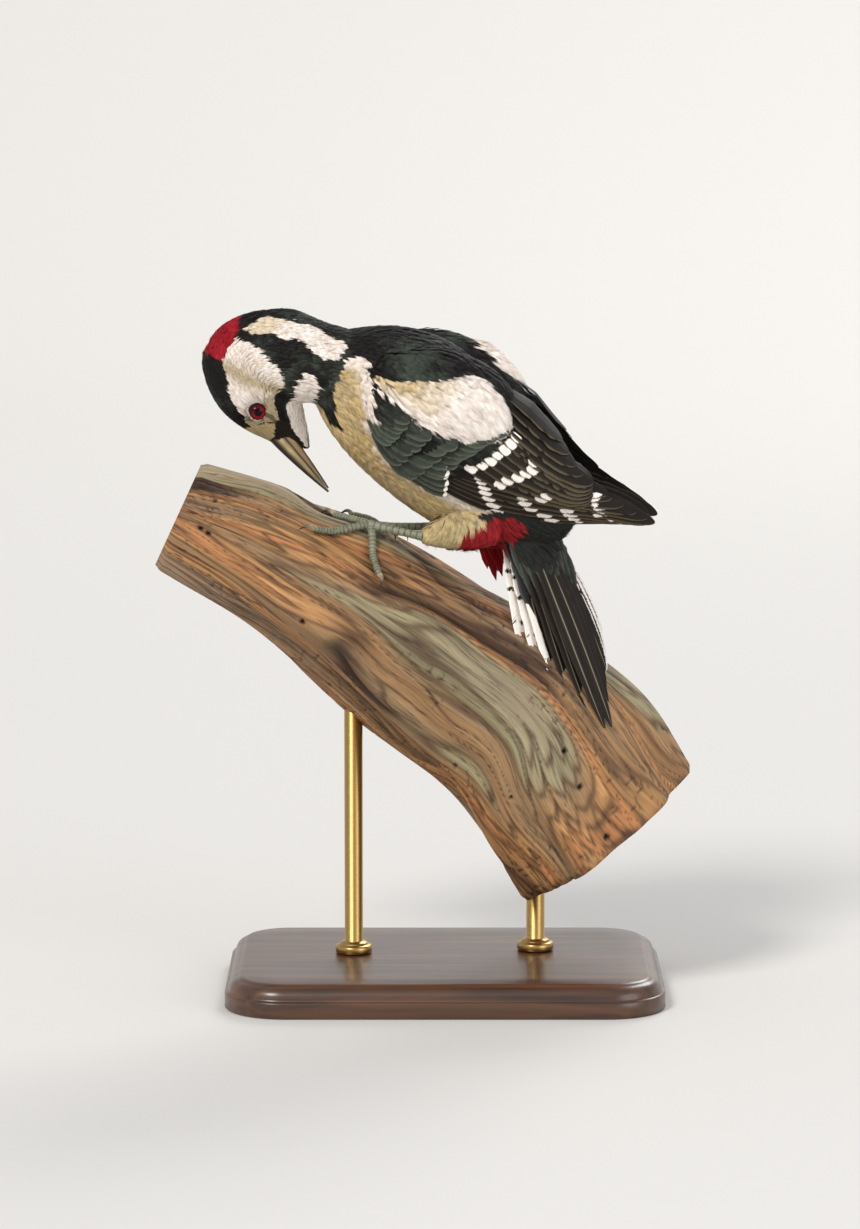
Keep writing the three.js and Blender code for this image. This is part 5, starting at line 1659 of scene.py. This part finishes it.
def wood_material():
    """The limb's wood: its painted tint with fibres and thin cracks along the attribute Grain."""
    finish = Finish("weathered_wood_grain", {"Roughness": 0.72})
    grain, colour = finish.painted("Grain", "Vector"), finish.painted("Tint")
    fibres = finish.speckles(grain, (2.6, 2.6, 0.1), 5.0)
    broad = finish.speckles(grain, (0.5, 0.5, 0.016), 5.0)
    colour = finish.tinted(finish.tinted(colour, fibres, 0.6, 1.4), broad, 0.9, 1.1)
    apart = finish.maths("ABSOLUTE", finish.maths("SUBTRACT", broad, 0.5))
    crack = finish.maths("MINIMUM", finish.maths("MULTIPLY", apart, 55.0), 1.0)
    height = finish.maths("MULTIPLY_ADD", crack, 0.6, fibres)
    return finish.done(finish.tinted(colour, crack, 0.45, 1.0), height, 0.0004, 0.6)


def streaked_material(name, surface, scale, detail, distortion, ramp, bumps):
    """A colour that goes over into another in streaks, as stain and brush marks do."""
    finish = Finish(name, surface)
    streaks = finish.speckles(finish.add("TexCoord")["Object"], scale, detail, distortion)
    colour = finish.add("ValToRGB", streaks)["Color"]
    for stop, (position, value) in zip(colour.node.color_ramp.elements, ramp):
        stop.position = position
        stop.color = (*value, 1)
    return finish.done(colour, streaks, *bumps)


WOOD_FINISH = wood_material()
BASE_FINISH = streaked_material(
    "stained_wood", {"Roughness": 0.36, "Coat Weight": 0.35, "Coat Roughness": 0.2},
    (14, 160, 160), 6.0, 0.6, [(0.32, srgb(44, 27, 17)), (0.7, srgb(92, 58, 36))], (0.0002, 0.35),
)
BRASS_FINISH = streaked_material(
    "brushed_brass", {"Metallic": 1.0, "Roughness": 0.32},
    (300, 300, 9000), 3.0, 0.0, [(0, srgb(150, 118, 66)), (1, srgb(206, 172, 108))], (0.00004, 0.5),
)

BASE = {"long": 190, "wide": 132, "high": 14, "corner": 26, "least_corner": 4}
# Moulding of the base's edge: [inset, height].
BASE_EDGE = [
    [0.8, 0], [0, 0.8], [0, 6.6], [0.3, 7.1], [1.1, 7.3], [1.5, 7.6], [1.7, 8.2], [2.0, 9.6], [2.7, 11],
    [3.8, 12.1], [5.0, 12.7], [5.6, 12.9], [6.1, 13.3], [6.9, 13.8], [7.9, 14],
]
RODS = {"stand_rod_left": [-40, 5, 165], "stand_rod_right": [40, 11, 100]}
# Turned profile of a rod's foot: [radius, height].
ROD_FOOT = [
    [0, 0], [7.6, 0], [8, 0.4], [8, 2.8], [7.7, 3.3], [7, 3.6], [6.4, 3.7], [6.2, 4.2], [5.4, 4.8], [4.3, 5],
    [4, 5.3],
]


def rounded_outline(long, wide, corner, steps):
    """Points round a rounded rectangle."""
    points = []
    for number, (x, y) in enumerate([(1, 1), (-1, 1), (-1, -1), (1, -1)]):
        a = (np.linspace(0, 90, steps) + number * 90) * DEG
        middle = np.array([x * (long / 2 - corner), y * (wide / 2 - corner)])
        points.append(middle + corner * np.stack([np.cos(a), np.sin(a)], -1))
    return np.concatenate(points)


def base():
    """The flat base with its moulded edge."""
    loops = []
    for inset, high in [[8, 0], *BASE_EDGE, *([inset, BASE["high"]] for inset in (20, 40, 62))]:
        corner = max(BASE["least_corner"], BASE["corner"] - inset)
        ring = rounded_outline(BASE["long"] - 2 * inset, BASE["wide"] - 2 * inset, corner, 20)
        loops.append(stacked(*ring.T, high))
    board = Pile().add_tube(np.array(loops), srgb(80, 52, 34))
    return board.piece("base_moulded", BASE_FINISH, "base_wood", ["stand_base"])


def rod(name, x, y, top):
    """A turned rod that stands on the base."""
    bottom = BASE["high"] + GAP
    high = top + GAP - bottom
    profile = [*ROD_FOOT, [4, high - 0.6], [3.6, high - 0.1], [3.4, high]]
    radius, rise = np.transpose(profile)[..., None]
    turn = circle(56)
    grid = stacked(x + radius * np.cos(turn), y + radius * np.sin(turn), bottom + rise)
    turned_rod = Pile().add_tube(grid, srgb(190, 156, 96))
    return turned_rod.piece(name + "_turned", BRASS_FINISH, "rod", [name])


# ---------------------------------------------------------------- floor, light and camera


FLOOR_FLAT = 2600
FLOOR_SWEEP = 1200
FLOOR_SIDES = 96


def floor():
    """A round floor whose rim sweeps up all round, so that no edge of it shows from any side."""
    a = np.linspace(0, math.pi / 2, 14)[1:]
    flat = np.linspace(1, FLOOR_FLAT, 12)
    reach = np.concatenate([flat, FLOOR_FLAT + FLOOR_SWEEP * np.sin(a)])[:, None]
    high = np.concatenate([0 * flat, FLOOR_SWEEP * (1 - np.cos(a))])[:, None] - 0.05
    turn = circle(FLOOR_SIDES)
    rings = stacked(reach * np.cos(turn), reach * np.sin(turn), high)
    piece = mesh_object("floor", rings, grid_faces(*rings.shape[:2], around=True))
    surface = {"Base Color": (0.66, 0.65, 0.63, 1), "Roughness": 0.9, "Specular IOR Level": 0.2}
    piece.data.materials.append(Finish("pale_floor", surface).material)


def area_light(name, place, aim, size, power, colour):
    """A round lamp at a place in metres."""
    light = bpy.data.lights.new(name, "AREA")
    light.shape = "DISK"
    light.size = size
    light.energy = power
    light.color = colour
    lamp = bpy.data.objects.new(name, light)
    lamp.location = Vector(place)
    lamp.rotation_euler = (Vector(aim) - Vector(place)).to_track_quat("-Z", "Y").to_euler()
    bpy.context.scene.collection.objects.link(lamp)


def studio():
    """Pale surroundings with a key light from the front left, a fill from the right and one from behind."""
    world = bpy.data.worlds.new("studio")
    bpy.context.scene.world = world
    world.use_nodes = True
    world.node_tree.nodes["Background"].inputs[0].default_value = (0.86, 0.87, 0.9, 1)
    world.node_tree.nodes["Background"].inputs[1].default_value = 0.62
    aim = (0, 0, 0.2)
    area_light("key", (-2.6, -4.0, 4.4), aim, 1.9, 268, (1.0, 0.97, 0.93))
    area_light("fill", (2.0, -1.7, 0.9), aim, 1.7, 20, (0.93, 0.96, 1.0))
    area_light("back", (1.25, 3.25, 2.8), aim, 2.0, 75, (1.0, 0.98, 0.95))


CAMERA_AIM = (-0.0065, 0.0, 0.165)
CAMERA_ELEVATION = 8 * DEG
CAMERA_DISTANCE = 2.0
CAMERA_FRAME = 0.5343  # height of the frame at the aim
SENSOR = 24


def camera():
    """A long lens that looks at the bird's left side from slightly above."""
    data = bpy.data.cameras.new("camera")
    data.sensor_fit = "VERTICAL"
    data.sensor_height = SENSOR
    data.lens = SENSOR * CAMERA_DISTANCE / CAMERA_FRAME
    data.clip_start = 0.05
    data.clip_end = 20
    holder = bpy.data.objects.new("camera", data)
    aim = Vector(CAMERA_AIM)
    back = Vector((0, -math.cos(CAMERA_ELEVATION), math.sin(CAMERA_ELEVATION)))
    holder.location = aim + back * CAMERA_DISTANCE
    holder.rotation_euler = (-back).to_track_quat("-Z", "Y").to_euler()
    bpy.context.scene.collection.objects.link(holder)
    bpy.context.scene.camera = holder


# ---------------------------------------------------------------- the whole scene

camera()
studio()
floor()
skin_piece()
coat(np.random.default_rng(7))
wing("left", 1, np.random.default_rng(11))
wing("right", -1, np.random.default_rng(12))
tail(np.random.default_rng(13))
bill_half(True)
bill_half(False)
eye("left", 1)
eye("right", -1)
lid_rings = Pile()
lids(1, lid_rings)
lids(-1, lid_rings)
lid_rings.piece("eye_rings", LEG_FINISH, "leg_skin")
limb()
leg("left")
leg("right")
base()
for rod_name, (rod_x, rod_y, rod_top) in RODS.items():
    rod(rod_name, rod_x, rod_y, rod_top)

bpy.context.scene.view_settings.view_transform = "Standard"
